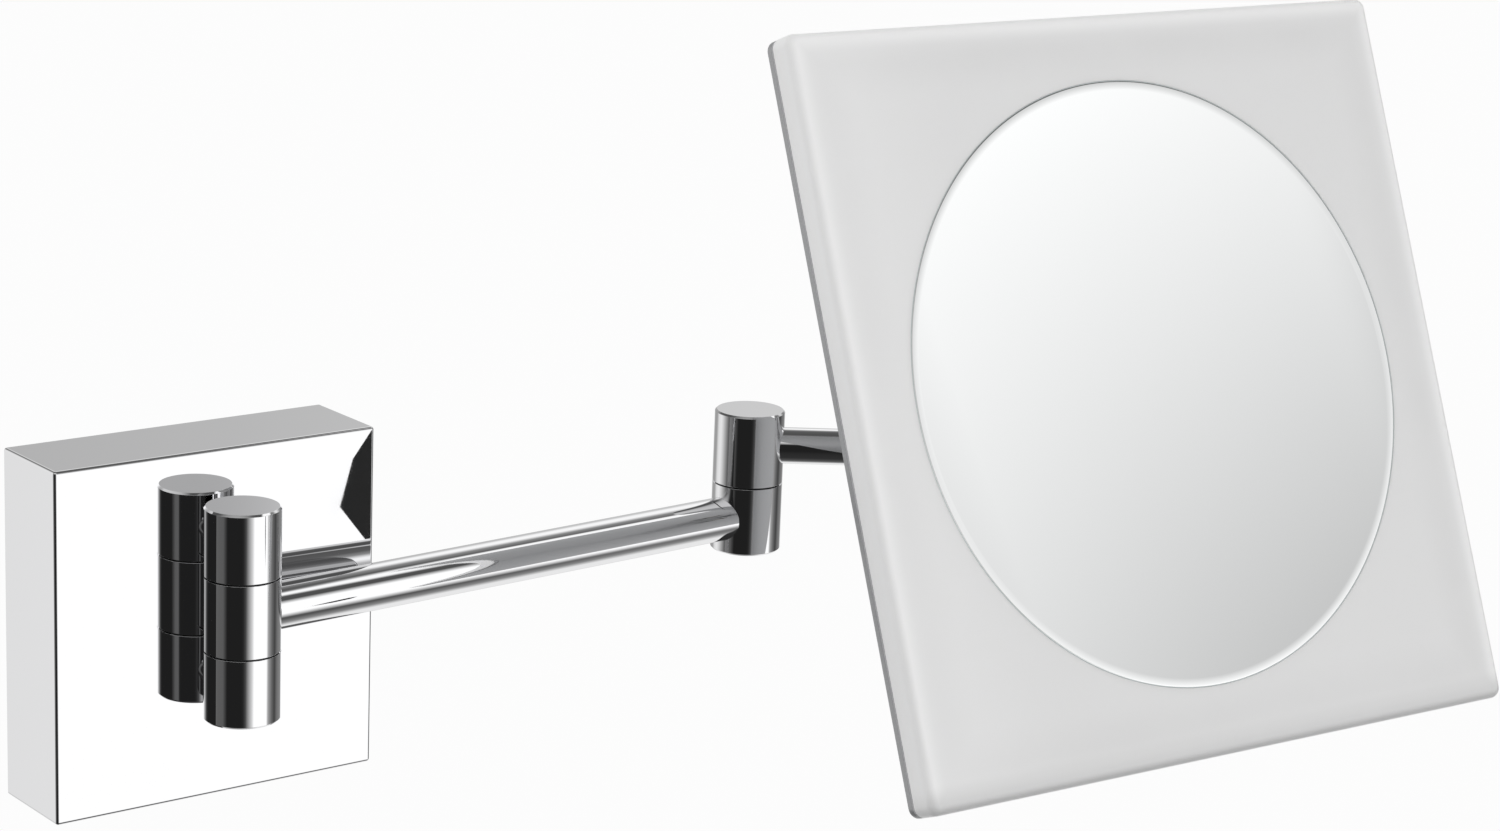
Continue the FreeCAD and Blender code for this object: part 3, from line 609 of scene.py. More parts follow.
@dataclass(frozen=True)
class FrostedAcrylic(Finish):
    """Cast acrylic sheet, etched to a satin face.

    Painted light: a lighter band is painted along its edges and fades inward, a painted shade band lies just
    inside it, one side is painted lighter, the bottom edge is painted darker, and its sides glow with painted
    emission. The etch gives a broad soft sheen with a very fine tooth.
    """

    axes: BodyAxes = HEAD_AXES
    body: str = "E8E8E8"
    # Painted light: the pale tone of the painted edge band, the painted lighter side and the painted glow.
    edge: str = "F6F6F6"
    shadow: str = "E0E0E0"
    # Painted shade: the darker tone painted along the bottom edge.
    foot: str = "D0D0D0"
    half_side: float = 100.0
    # Painted light: strength of the emission glow painted on the panel's sides.
    painted_glow_strength: float = 0.26
    etch_mm: float = 0.25

    def dress(self, tree: bpy.types.NodeTree, shader: bpy.types.Node) -> None:
        """Sets the shader up with painted light and shade along the panel's edges."""
        place = place_of(tree, self.axes)
        split = add_node(tree, "ShaderNodeSeparateXYZ", {"Vector": place})
        across = maths(tree, "ABSOLUTE", split.outputs["Y"])
        up = maths(tree, "ABSOLUTE", split.outputs["Z"])
        inset = maths(tree, "SUBTRACT", self.half_side, maths(tree, "MAXIMUM", across, up))
        # Painted light: a lighter band painted along the edges, from 1.5 to 6 mm in.
        glow = graded(tree, inset, 1.5, 6.0, 1.0, 0.0)
        rise = graded(tree, inset, 4.0, 9.0, 0.0, 1.0)
        fall = graded(tree, inset, 9.0, 20.0, 1.0, 0.0)
        shade_band = maths(tree, "MULTIPLY", rise, fall)
        mottle = self.grain(tree, 30.0, 2.0)
        dim = maths(tree, "MULTIPLY", shade_band, graded(tree, mottle, 0.3, 0.7, 0.35, 0.6))
        tone = blend(tree, dim, linear(self.body), linear(self.shadow))
        tone = blend(tree, glow, tone, linear(self.edge))
        # Painted light: one side of the panel painted lighter towards its edge.
        painted_side_light = graded(tree, split.outputs["Y"], 8.0 - self.half_side, 50.0 - self.half_side, 0.35, 0.0)
        tone = blend(tree, painted_side_light, tone, linear(self.edge))
        # Painted shade: the bottom edge of the panel painted darker.
        foot = graded(tree, split.outputs["Z"], 1.0 - self.half_side, 8.0 - self.half_side, 0.8, 0.0)
        tone = blend(tree, foot, tone, linear(self.foot))
        etch = self.grain(tree, self.etch_mm, 2.0)
        # Painted light: the panel's sides glow by emission, though the panel is no lamp.
        painted_side_glow = graded(tree, split.outputs["X"], 18.3, 20.9, self.painted_glow_strength, 0.0)
        shader.inputs["Emission Color"].default_value = linear(self.edge)
        tree.links.new(painted_side_glow, shader.inputs["Emission Strength"])
        tree.links.new(tone, shader.inputs["Base Color"])
        tree.links.new(graded(tree, etch, 0.3, 0.7, 0.34, 0.46), shader.inputs["Roughness"])
        tree.links.new(self.relief(tree, etch, 0.003), shader.inputs["Normal"])
        shader.inputs["IOR"].default_value = 1.49
        shader.inputs["Subsurface Weight"].default_value = 0.25
        shader.inputs["Subsurface Radius"].default_value = (0.004, 0.004, 0.0042)
        shader.inputs["Subsurface Scale"].default_value = 1.0


@dataclass(frozen=True)
class SilveredGlass(Finish):
    """Ground optical glass with silver on its back.

    A true mirror with the slight green of soda glass. Its ground rim is matt and pale.
    """

    axes: BodyAxes = HEAD_AXES
    silver: str = "FAFBFB"
    rim: str = "B9C6C4"
    radius: float = 81.5

    def dress(self, tree: bpy.types.NodeTree, shader: bpy.types.Node) -> None:
        """Sets the shader up as silver inside the bevel and ground glass on the rim."""
        place = place_of(tree, self.axes)
        split = add_node(tree, "ShaderNodeSeparateXYZ", {"Vector": place})
        inputs = {0: split.outputs["Y"], 1: split.outputs["Z"]}
        flat = add_node(tree, "ShaderNodeCombineXYZ", inputs).outputs[0]
        reach = add_node(tree, "ShaderNodeVectorMath", {0: flat}, operation="LENGTH").outputs["Value"]
        ground = graded(tree, reach, self.radius - 0.12, self.radius - 0.02, 0.0, 1.0)
        tone = blend(tree, ground, linear(self.silver), linear(self.rim))
        dust = self.grain(tree, 25.0, 5.0)
        polish = graded(tree, dust, 0.55, 0.8, 0.004, 0.02)
        blur = maths(tree, "ADD", polish, maths(tree, "MULTIPLY", ground, 0.35))
        tree.links.new(tone, shader.inputs["Base Color"])
        tree.links.new(blur, shader.inputs["Roughness"])
        tree.links.new(maths(tree, "SUBTRACT", 1.0, ground), shader.inputs["Metallic"])


CHROME = PolishedChrome("polished_chrome_plate")
ZINC = PlainMetal("bright_zinc_plate", light="C6CCD1", dark="A3AAB2", grain_mm=3.5, blur=(0.3, 0.5))
STAINLESS = PlainMetal("turned_stainless_steel", light="C4C3C0", dark="A5A4A1", stretch=(1.0, 1.0, 9.0))
# Stoved enamel with metal flake on sheet steel: mostly scattered light and a satin sheen.
ENAMEL = PlainMetal(
    "satin_grey_enamel",
    HEAD_AXES,
    light="CBCCCD",
    dark="BFC0C2",
    grain_mm=0.5,
    blur=(0.28, 0.38),
    bare=0.35,
)
BRONZE = PlainMetal("sintered_bronze", light="B08A55", dark="7E5F38", grain_mm=0.3, blur=(0.4, 0.6))
NYLON = PlainPlastic("black_nylon", light="2A2B2C", dark="202122", blur=0.42)
FOAM = PlainPlastic("white_foam_tape", light="E4E4E1", dark="CFCFCB", blur=0.85, relief_mm=0.05)
SILICONE = PlainPlastic("clear_silicone", light="C9CECF", dark="BFC5C6", blur=0.25)
ACRYLIC = FrostedAcrylic("frosted_acrylic")
SILVERED = SilveredGlass("silvered_glass")


# Sub-assemblies


@dataclass
class SubAssembly:
    """Pieces that ride together on one body and are modelled on its axes."""

    body: str
    axes: BodyAxes

    def lay(
        self,
        piece: bpy.types.Object,
        node: str,
        slot: str,
        finish: Finish,
        at: Place = ORIGIN,
        axis: Axis = Axis.Z,
    ) -> bpy.types.Object:
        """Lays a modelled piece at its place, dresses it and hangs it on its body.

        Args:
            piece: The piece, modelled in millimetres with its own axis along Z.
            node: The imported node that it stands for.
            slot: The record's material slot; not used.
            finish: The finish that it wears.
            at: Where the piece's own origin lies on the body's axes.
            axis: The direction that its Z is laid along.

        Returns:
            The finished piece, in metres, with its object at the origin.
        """
        shade(piece)
        local = Matrix.Translation(at) @ Euler(axis.value).to_matrix().to_4x4()
        piece.data.transform(self.axes.matrix @ Matrix.Scale(MILLIMETRE, 4) @ local)
        piece.data.materials.clear()
        piece.data.materials.append(finish.material())
        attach(piece, self.body)
        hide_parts(node)
        LOG.info("%s: %d faces on %s", piece.name, len(piece.data.polygons), self.body)
        return piece

    def keep(self, finish: Finish, *nodes: str) -> None:
        """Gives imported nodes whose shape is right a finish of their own."""
        for node in nodes:
            for slot in frame["nodes"][node].material_slots:
                slot.material = finish.material()
            LOG.info("%s: kept, in %s", node, finish.name)


@dataclass(frozen=True)
class Barrel:
    """Sizes that every hinge barrel shares."""

    radius: float = 9.6
    pin_hole: float = 4.02
    bush_hole: float = 5.52
    recess: float = 6.3
    end_edge: float = 0.5
    seam_edge: float = 0.05
    crown: float = 4.0
    softening: float = 0.08
    plug_height: float = 2.4
    plug_play: float = 0.02
    slot_width: float = 1.6
    slot_depth: float = 1.0
    seat: float = 7.4
    sides: int = 192

    def outside(self, height: float, low_edge: float, high_edge: float) -> Outline:
        """The outer half section of a knuckle, from its lower to its upper face."""
        return [
            (self.radius - low_edge, 0.0),
            (self.radius, low_edge),
            (self.radius, height - high_edge),
            (self.radius - high_edge, height),
        ]

    def blind(self, name: str, height: float) -> bpy.types.Object:
        """Turns a top knuckle: closed above, drilled for the pin from below.

        Args:
            name: The name of the piece.
            height: The knuckle's height.

        Returns:
            The knuckle, standing on its lower face.
        """
        floor = height - self.crown
        bore = [(0.0, floor), (self.pin_hole, floor), (self.pin_hole, 0.0)]
        outline = [*bore, *self.outside(height, self.seam_edge, self.end_edge), (0.0, height)]
        return self.turn(name, outline)

    def stepped(self, name: str, height: float, hole: float, depth: float) -> bpy.types.Object:
        """Turns a bottom knuckle: drilled through, with a wider recess from below.

        Args:
            name: The name of the piece.
            height: The knuckle's height.
            hole: The radius of the through hole.
            depth: The depth of the recess.

        Returns:
            The knuckle, standing on its lower face.
        """
        bore = [(hole, height), (hole, depth), (self.recess, depth), (self.recess, 0.0)]
        return self.turn(name, [*bore, *self.outside(height, self.end_edge, self.seam_edge)])

    def through(self, name: str, height: float) -> bpy.types.Object:
        """Turns a middle knuckle, drilled through for its bush."""
        bore = [(self.bush_hole, height), (self.bush_hole, 0.0)]
        return self.turn(name, [*bore, *self.outside(height, self.seam_edge, self.seam_edge)])

    def turn(self, name: str, outline: Outline) -> bpy.types.Object:
        """Turns a knuckle and breaks its edges."""
        knuckle = turned(name, outline, self.sides)
        soften(knuckle, self.softening, angle=30.0)
        return knuckle

    def socketed(
        self, knuckle: bpy.types.Object, radius: float, height: float, heading: float
    ) -> bpy.types.Object:
        """Cuts the seat of a tube or rod into a knuckle's side.

        Args:
            knuckle: The knuckle, standing on its lower face.
            radius: The radius of the tube or rod.
            height: The height of the tube's axis above the knuckle's foot.
            heading: The direction of the tube, in radians from X.

        Returns:
            The knuckle.
        """
        cutter = round_blank("seat_cutter", radius, self.radius, (self.seat, 0.0, height), Axis.X)
        cutter.data.transform(Matrix.Rotation(heading, 4, "Z"))
        combine(knuckle, cutter, Cut.SUBTRACT)
        return knuckle

    def plug(self, name: str) -> bpy.types.Object:
        """Makes the cover of a recess, with a coin slot in its lower face."""
        radius = self.recess - self.plug_play
        edge = self.softening * 3
        outline = [(0.0, 0.0), (radius - edge, 0.0), (radius, edge), (radius, self.plug_height)]
        cover = turned(name, [*outline, (0.0, self.plug_height)])
        low = (-self.radius, -self.slot_width / 2, -self.slot_depth)
        slot = block("slot_cutter", low, (self.radius, self.slot_width / 2, self.slot_depth))
        combine(cover, slot, Cut.SUBTRACT)
        soften(cover, self.softening, angle=60.0)
        return cover


BARREL = Barrel()


@dataclass
class WallUnit(SubAssembly):
    """Chrome box on its hidden bracket, with the two fixed knuckles of the first hinge."""

    body: str = "wall_unit"
    axes: BodyAxes = WALL_AXES
    half: float = 45.0
    depth: float = 26.5
    wall: float = 3.0
    edge: float = 0.8
    rim_edge: float = 0.25
    bracket_play: float = 0.3
    bracket_half_width: float = 35.0
    bracket_sheet: float = 3.0
    lip_half_width: float = 30.0
    lip_depth: float = 17.0
    lip_sheet: float = 2.5
    fold: float = 0.6
    screw_hole: float = 2.7
    screw_place: float = 25.0
    grub_radius: float = 2.0
    grub_from_wall: float = 11.0
    grub_recess: float = 0.3
    grub_key: float = 1.0
    post_radius: float = 4.0
    post_end: float = 5.6
    post_tail: float = 1.0
    nut_height: float = 5.0
    nut_corner: float = 7.5
    thread_pitch: float = 1.25
    thread_depth: float = 0.4
    knuckle: float = 17.6
    seam: float = 0.4
    arm_knuckle: float = 18.8
    play: float = 0.02

    def __post_init__(self) -> None:
        """Reads the first hinge's place from the frame."""
        self.hinge = ARM_HINGE / MILLIMETRE
        self.rise = self.arm_knuckle / 2 + self.seam
        self.upper_foot = self.hinge.z + self.rise
        self.lower_foot = self.hinge.z - self.rise - self.knuckle
        self.post_heights = (self.upper_foot + self.knuckle / 2, self.lower_foot + self.knuckle / 2)

    def build(self) -> None:
        """Makes every piece of the wall unit."""
        self.lay(self.box(), "wall_box", "chrome", CHROME)
        self.lay(self.bracket(), "wall_bracket", "zinc_steel", ZINC)
        self.lay(self.grub_screws(), "grub_screws", "stainless_steel", STAINLESS)
        post_start = (self.hinge.x, self.hinge.y + self.post_end)
        for name, height in zip(("upper_post", "lower_post"), self.post_heights):
            self.lay(self.post(name), name, "chrome", CHROME, (*post_start, height), Axis.Y)
        self.lay(self.post_nuts(), "post_nuts", "zinc_steel", ZINC)
        upper = self.drilled(BARREL.blind("upper_wall_barrel", self.knuckle))
        self.lay(upper, "upper_wall_knuckle", "chrome", CHROME, self.on_hinge(self.upper_foot))
        lower = BARREL.stepped("lower_wall_barrel", self.knuckle, BARREL.pin_hole, BARREL.plug_height)
        lower = self.drilled(lower)
        self.lay(lower, "lower_wall_knuckle", "chrome", CHROME, self.on_hinge(self.lower_foot))
        plug = BARREL.plug("wall_pin_cover")
        self.lay(plug, "wall_pin_plug", "chrome", CHROME, self.on_hinge(self.lower_foot))
        self.keep(STAINLESS, "wall_pin")
        self.keep(NYLON, "upper_swing_washer", "lower_swing_washer")

    def on_hinge(self, height: float) -> Place:
        """A place on the first hinge's axis."""
        return (self.hinge.x, self.hinge.y, height)

    def drilled(self, knuckle: bpy.types.Object) -> bpy.types.Object:
        """Cuts the seat of a post into a fixed knuckle's back."""
        start = (0.0, self.post_end, self.knuckle / 2)
        cutter = round_blank("post_cutter", self.post_radius + self.play, BARREL.radius, start, Axis.Y)
        combine(knuckle, cutter, Cut.SUBTRACT)
        return knuckle

    def box(self) -> bpy.types.Object:
        """Draws the box: a rounded face, four sides and an open back."""
        piece = block("chrome_wall_box", (-self.half, -self.depth, -self.half), (self.half, 0.0, self.half))
        bpy.ops.object.mode_set(mode="EDIT")
        pick(piece, Element.FACE, lambda face: face.normal.y > 0.9)
        bpy.ops.mesh.inset(thickness=self.wall, depth=0.0)
        inward = (0.0, self.wall - self.depth, 0.0)
        bpy.ops.mesh.extrude_region_move(TRANSFORM_OT_translate={"value": inward})
        bpy.ops.object.mode_set(mode="OBJECT")
        reach = self.half - self.edge

        def outer(edge: bmesh.types.BMEdge) -> bool:
            ends = [vertex.co for vertex in edge.verts]
            on_side = all(max(abs(end.x), abs(end.z)) > reach for end in ends)
            return on_side and min(end.y for end in ends) < -self.wall

        bevel_picked(piece, outer, self.edge, 6)
        soften(piece, self.rim_edge, angle=60.0)
        for height in self.post_heights:
            start = (self.hinge.x, -self.depth - 1, height)
            hole = round_blank("post_hole", self.post_radius + self.play, self.wall + 2, start, Axis.Y)
            combine(piece, hole, Cut.SUBTRACT)
        for side in (-1, 1):
            start = (side * self.screw_place, -self.grub_from_wall, -self.half - 1)
            hole = round_blank("grub_hole", self.grub_radius + self.play, self.wall + 2, start, Axis.Z)
            combine(piece, hole, Cut.SUBTRACT)
        return piece

    def bracket(self) -> bpy.types.Object:
        """Folds the bracket: a drilled plate with a lip above and below."""
        high = self.half - self.wall - self.bracket_play
        width = self.bracket_half_width
        piece = block("folded_bracket", (-width, -self.bracket_sheet, -high), (width, 0.0, high))
        for side in (-1, 1):
            far, near = side * high, side * (high - self.lip_sheet)
            low = (-self.lip_half_width, -self.lip_depth, min(far, near))
            lip = block("lip", low, (self.lip_half_width, 0.0, max(far, near)))
            combine(piece, lip, Cut.JOIN)
        soften(piece, self.fold, 3, angle=60.0)
        for across in (-self.screw_place, self.screw_place):
            for up in (-self.screw_place, self.screw_place):
                start = (across, -self.bracket_sheet - 1, up)
                hole = round_blank("hole", self.screw_hole, self.bracket_sheet + 2, start, Axis.Y, 48)
                combine(piece, hole, Cut.SUBTRACT)
        return piece

    def grub_screws(self) -> bpy.types.Object:
        """Makes the two grub screws that lock the box to the bracket's lower lip."""
        length = self.wall + self.bracket_play - self.grub_recess
        edge = self.grub_radius - 0.3
        outline = [(0.0, 0.0), (edge, 0.0), (self.grub_radius, 0.3), (self.grub_radius, length)]
        first = turned("grub_screw_pair", [*outline, (0.0, length)], 48)
        key = round_blank("key", self.grub_key, length, (0.0, 0.0, -length / 2), Axis.Z, 6)
        combine(first, key, Cut.SUBTRACT)
        foot = -self.half + self.grub_recess
        first.data.transform(Matrix.Translation((-self.screw_place, -self.grub_from_wall, foot)))
        return merged([first, copied(first, "grub", (2 * self.screw_place, 0.0, 0.0))])

    def post(self, name: str) -> bpy.types.Object:
        """Makes a post that is plain to the box and threaded behind it."""
        start = self.hinge.y + self.post_end
        plain = -self.depth + self.wall - start
        length = plain + self.nut_height + self.post_tail
        radius = self.post_radius
        outline = [(0.0, 0.0), (radius - 0.3, 0.0), (radius, 0.3), (radius, plain)]
        turns = int((length - plain) / self.thread_pitch)
        for turn in range(turns):
            foot = plain + turn * self.thread_pitch
            outline.append((radius - self.thread_depth, foot + self.thread_pitch / 2))
            outline.append((radius - self.play, foot + self.thread_pitch))
        outline += [(radius - self.thread_depth, length), (0.0, length)]
        return turned(f"{name}_stud", outline, 96)

    def post_nuts(self) -> bpy.types.Object:
        """Makes the two nuts that clamp the posts inside the box."""
        nut = hexagon_nut("post_nut_pair", self.nut_corner, self.nut_height, self.post_radius + self.play)
        nut.data.transform(Euler(Axis.Y.value).to_matrix().to_4x4())
        upper, lower = self.post_heights
        nut.data.transform(Matrix.Translation((self.hinge.x, -self.depth + self.wall, upper)))
        return merged([nut, copied(nut, "nut", (0.0, 0.0, lower - upper))])


def hexagon_nut(name: str, corner: float, height: float, hole: float) -> bpy.types.Object:
    """Makes a hexagon nut whose corners are turned down at both ends.

    Args:
        name: The name of the piece.
        corner: From its axis to its corners.
        height: Its height.
        hole: The radius of its hole.

    Returns:
        The nut, standing on its lower face.
    """
    nut = round_blank(name, corner, height, ORIGIN, Axis.Z, 6)
    flat = corner * math.cos(math.pi / 6)
    bulge = (corner - flat) * 0.6
    lens = [(0.0, 0.0), (flat, 0.0), (flat + 2 * bulge, bulge), (flat + 2 * bulge, height - bulge)]
    combine(nut, turned("lens", [*lens, (flat, height), (0.0, height)], 96), Cut.SHARE)
    combine(nut, round_blank("hole", hole, height + 2, (0.0, 0.0, -1.0), Axis.Z, 64), Cut.SUBTRACT)
    return nut


@dataclass
class FrictionHinge:
    """A barrel whose upper knuckle turns on the lower one, each carried by its own arm."""

    name: str
    lower: SubAssembly
    lower_at: float
    lower_height: float
    lower_rod: float
    upper: SubAssembly
    upper_height: float
    upper_rod: float
    recess_depth: float = 8.0

    def build(self) -> None:
        """Makes both knuckles and the plug, and dresses the parts inside them."""
        lower = BARREL.stepped(
            f"{self.name}_lower_barrel", self.lower_height, BARREL.bush_hole, self.recess_depth
        )
        BARREL.socketed(lower, self.lower_rod, self.lower_height / 2, math.pi)
        foot = (self.lower_at, 0.0, -self.lower_height / 2)
        self.lower.lay(lower, f"{self.name}_lower_knuckle", "chrome", CHROME, foot)
        plug = BARREL.plug(f"{self.name}_cover")
        self.lower.lay(plug, f"{self.name}_plug", "chrome", CHROME, foot)
        upper = BARREL.blind(f"{self.name}_upper_barrel", self.upper_height)
        BARREL.socketed(upper, self.upper_rod, self.upper_height / 2, 0.0)
        foot = (0.0, 0.0, -self.upper_height / 2)
        self.upper.lay(upper, f"{self.name}_upper_knuckle", "chrome", CHROME, foot)
        self.lower.keep(BRONZE, f"{self.name}_bush")
        self.lower.keep(NYLON, f"{self.name}_washer")
        self.upper.keep(STAINLESS, f"{self.name}_pin", f"{self.name}_nut", f"{self.name}_spring")


@dataclass
class LongArm(SubAssembly):
    """The tube from the first hinge to the elbow, with its bearing knuckle."""

    body: str = "long_arm"
    axes: BodyAxes = ARM_AXES
    length: float = level_distance(ARM_HINGE, ELBOW_HINGE)
    radius: float = 6.0
    wall: float = 1.2
    knuckle: float = 18.8
    play: float = 0.02
    end_edge: float = 0.2

    def build(self) -> None:
        """Makes the bearing knuckle and the tube."""
        knuckle = BARREL.through("arm_barrel", self.knuckle)
        BARREL.socketed(knuckle, self.radius + self.play, self.knuckle / 2, 0.0)
        self.lay(knuckle, "arm_knuckle", "chrome", CHROME, (0.0, 0.0, -self.knuckle / 2))
        self.lay(self.tube(), "arm_tube", "chrome", CHROME, (BARREL.seat, 0.0, 0.0), Axis.X)
        self.keep(BRONZE, "arm_bush")

    def tube(self) -> bpy.types.Object:
        """Draws the tube, with its cut ends broken."""
        length = self.length - 2 * BARREL.seat
        edge, inner = self.end_edge, self.radius - self.wall
        outline = [
            (inner, length),
            (inner, 0.0),
            (self.radius - edge, 0.0),
            (self.radius, edge),
            (self.radius, length - edge),
            (self.radius - edge, length),
        ]
        return turned("long_tube", outline)


@dataclass
class ShortRod(SubAssembly):
    """The solid rod from the elbow to the third hinge."""

    body: str = "short_rod"
    axes: BodyAxes = ROD_AXES
    length: float = level_distance(ELBOW_HINGE, HEAD_HINGE)
    radius: float = 5.0
    end_edge: float = 0.3

    def build(self) -> None:
        """Makes the rod."""
        length, edge = self.length - 2 * BARREL.seat, self.end_edge
        outline = [(0.0, 0.0), (self.radius - edge, 0.0), (self.radius, edge), (self.radius, length - edge)]
        rod = turned("short_bar", [*outline, (self.radius - edge, length), (0.0, length)])
        self.lay(rod, "fore_rod", "chrome", CHROME, (BARREL.seat, 0.0, 0.0), Axis.X)


@dataclass
class Swivel(SubAssembly):
    """The stub with a flattened eye that the mirror tilts on."""

    body: str = "swivel"
    axes: BodyAxes = SWIVEL_AXES
    length: float = level_distance(HEAD_HINGE, TILT_HINGE)
    radius: float = 5.0
    eye: float = 5.5
    eye_half: float = 3.0
    neck_play: float = 0.4
    hole: float = 3.32
    edge: float = 0.3

    def build(self) -> None:
        """Makes the stub: a round neck that is milled flat into an eye."""
        neck_end = self.length - self.eye - self.neck_play
        start = (BARREL.seat, 0.0, 0.0)
        stub = round_blank("swivel_neck", self.radius, neck_end - BARREL.seat, start, Axis.X)
        soften(stub, self.edge, 3)
        tongue = round_blank("tongue", self.radius, self.length - neck_end + 1, (neck_end - 1, 0.0, 0.0), Axis.X)
        low = (neck_end - 2, -self.eye_half, -self.radius)
        flats = block("flats", low, (self.length, self.eye_half, self.radius))
        combine(tongue, flats, Cut.SHARE)
        disc_at = (self.length, -self.eye_half, 0.0)
        disc = round_blank("disc", self.eye, 2 * self.eye_half, disc_at, Axis.Y)
        soften(disc, self.edge, 3)
        combine(stub, tongue, Cut.JOIN)
        combine(stub, disc, Cut.JOIN)
        hole_at = (self.length, -self.eye_half - 1, 0.0)
        combine(stub, round_blank("hole", self.hole, 2 * self.eye_half + 2, hole_at, Axis.Y), Cut.SUBTRACT)
        self.lay(stub, "swivel_stub", "chrome", CHROME)
        self.keep(BRONZE, "tilt_bush")


@dataclass
class MirrorHead(SubAssembly):
    """Hub, back plate, frosted panel and concave glass, which tilt together."""

    body: str = "mirror_head"
    axes: BodyAxes = HEAD_AXES
    front: float = 21.0
    hub_back: float = 8.1
    hub_radius: float = 28.0
    hub_sheet: float = 3.0
    eye: float = 5.5
    ear_inner: float = 3.7
    ear_outer: float = 7.7
    bolt_hole: float = 2.52
    screw_place: float = 20.0 * math.cos(math.pi / 4)
    screw_radius: float = 2.0
    screw_head: float = 3.7
    screw_head_height: float = 1.8
    screw_reach: float = 4.8
    bolt_radius: float = 2.5
    bolt_head: float = 4.5
    bolt_head_height: float = 2.4
    bolt_reach: float = 3.5
    key: float = 1.75
    key_depth: float = 1.2
    cap_corner: float = 4.6
    cap_height: float = 4.0
    cap_crown: float = 1.2
    half_side: float = 100.0
    corner: float = 3.0
    plate_back: float = 11.1
    plate_sheet: float = 2.0
    panel_back: float = 13.6
    panel_edge: float = 2.5
    seat_depth: float = 3.8
    seat_width: float = 4.0
    seat_play: float = 0.2
    glass: float = 81.5
    glass_sheet: float = 3.0
    glass_curve: float = 900.0
    bead_sheet: float = 0.55
    bead_width: float = 2.3
    bead_below: float = 0.08
    glass_bevel: float = 0.35
    glass_bevel_depth: float = 0.15
    play: float = 0.02

    def build(self) -> None:
        """Makes every piece of the head."""
        self.lay(self.hub(), "hub", "chrome", CHROME)
        self.lay(self.hub_screws(), "hub_screws", "stainless_steel", STAINLESS)
        bolt_at = (0.0, -self.ear_outer - self.bolt_head_height, 0.0)
        self.lay(self.bolt(), "tilt_bolt", "stainless_steel", STAINLESS, bolt_at, Axis.Y)
        self.lay(self.cap_nut(), "tilt_nut", "chrome", CHROME, (0.0, self.ear_outer, 0.0), Axis.Y)
        self.lay(self.back_plate(), "back_plate", "back_plate_steel", ENAMEL)
        self.lay(self.panel(), "frosted_panel", "frosted_panel", ACRYLIC)
        self.lay(self.mirror(), "mirror_glass", "mirror_glass", SILVERED, ORIGIN, Axis.X)
        self.lay(self.bead(), "glass_adhesive", "adhesive", SILICONE, ORIGIN, Axis.X)
        self.keep(NYLON, "tilt_washers")
        self.keep(FOAM, "bonding_tape")

    def screw_centres(self) -> Iterator[tuple[float, float]]:
        """The four hub screws' places across and up the panel."""
        for across in (-self.screw_place, self.screw_place):
            for up in (-self.screw_place, self.screw_place):
                yield across, up

    def hub(self) -> bpy.types.Object:
        """Makes the round flange and its two ears."""
        hub = round_blank("tilt_hub", self.hub_radius, self.hub_sheet, (self.hub_back, 0.0, 0.0), Axis.X)
        soften(hub, 0.5, 3)
        for side in (self.ear_inner, -self.ear_outer):
            width = self.ear_outer - self.ear_inner
            ear = round_blank("ear", self.eye, width, (0.0, side, 0.0), Axis.Y)
            low = (0.0, side, -self.eye)
            root = block("root", low, (self.hub_back + self.hub_sheet / 2, side + width, self.eye))
            combine(ear, root, Cut.JOIN)
            soften(ear, 0.35, 3)
            combine(hub, ear, Cut.JOIN)
        bolt_at = (0.0, -self.ear_outer - 1, 0.0)
        bolt_hole = round_blank("hole", self.bolt_hole, 2 * self.ear_outer + 2, bolt_at, Axis.Y, 64)
        combine(hub, bolt_hole, Cut.SUBTRACT)
        for across, up in self.screw_centres():
            start = (self.hub_back - 1, across, up)
            hole = round_blank("hole", self.screw_radius + self.play, self.hub_sheet + 2, start, Axis.X, 48)
            combine(hub, hole, Cut.SUBTRACT)
        return hub

    def hub_screws(self) -> bpy.types.Object:
        """Makes four pan-head screws with a hexagon socket."""
        head, rise = self.screw_head, self.screw_head_height
        foot = rise + self.screw_reach
        dome = [(head * math.sin(turn), rise * 0.75 * (1 - math.cos(turn))) for turn in arc(0, 90, 8)]
        shank = [(head, rise), (self.screw_radius, rise), (self.screw_radius, foot), (0.0, foot)]
        screw = turned("hub_screw_set", [*dome, *shank], 64)
        key = round_blank("key", head * 0.42, rise * 1.3, (0.0, 0.0, -rise / 2), Axis.Z, 6)
        combine(screw, key, Cut.SUBTRACT)
        screw.data.transform(Euler(Axis.X.value).to_matrix().to_4x4())
        centres = list(self.screw_centres())
        screw.data.transform(Matrix.Translation((self.hub_back - rise, *centres[0])))
        others = []
        for across, up in centres[1:]:
            shift = (0.0, across - centres[0][0], up - centres[0][1])
            others.append(copied(screw, "hub_screw", shift))
        return merged([screw, *others])

    def bolt(self) -> bpy.types.Object:
        """Makes the tilt bolt, with a hexagon socket in its head."""
        head, rise, edge = self.bolt_head, self.bolt_head_height, 0.4
        foot = rise + 2 * self.ear_outer + self.bolt_reach
        crown = [(0.0, 0.0), (head - edge, 0.0), (head, edge), (head, rise)]
        shank = [(self.bolt_radius, rise), (self.bolt_radius, foot), (0.0, foot)]
        bolt = turned("tilt_screw", [*crown, *shank], 96)
        soften(bolt, 0.1, angle=30.0)
        key = round_blank("key", self.key, 2 * self.key_depth, (0.0, 0.0, -self.key_depth), Axis.Z, 6)
        combine(bolt, key, Cut.SUBTRACT)
        return bolt

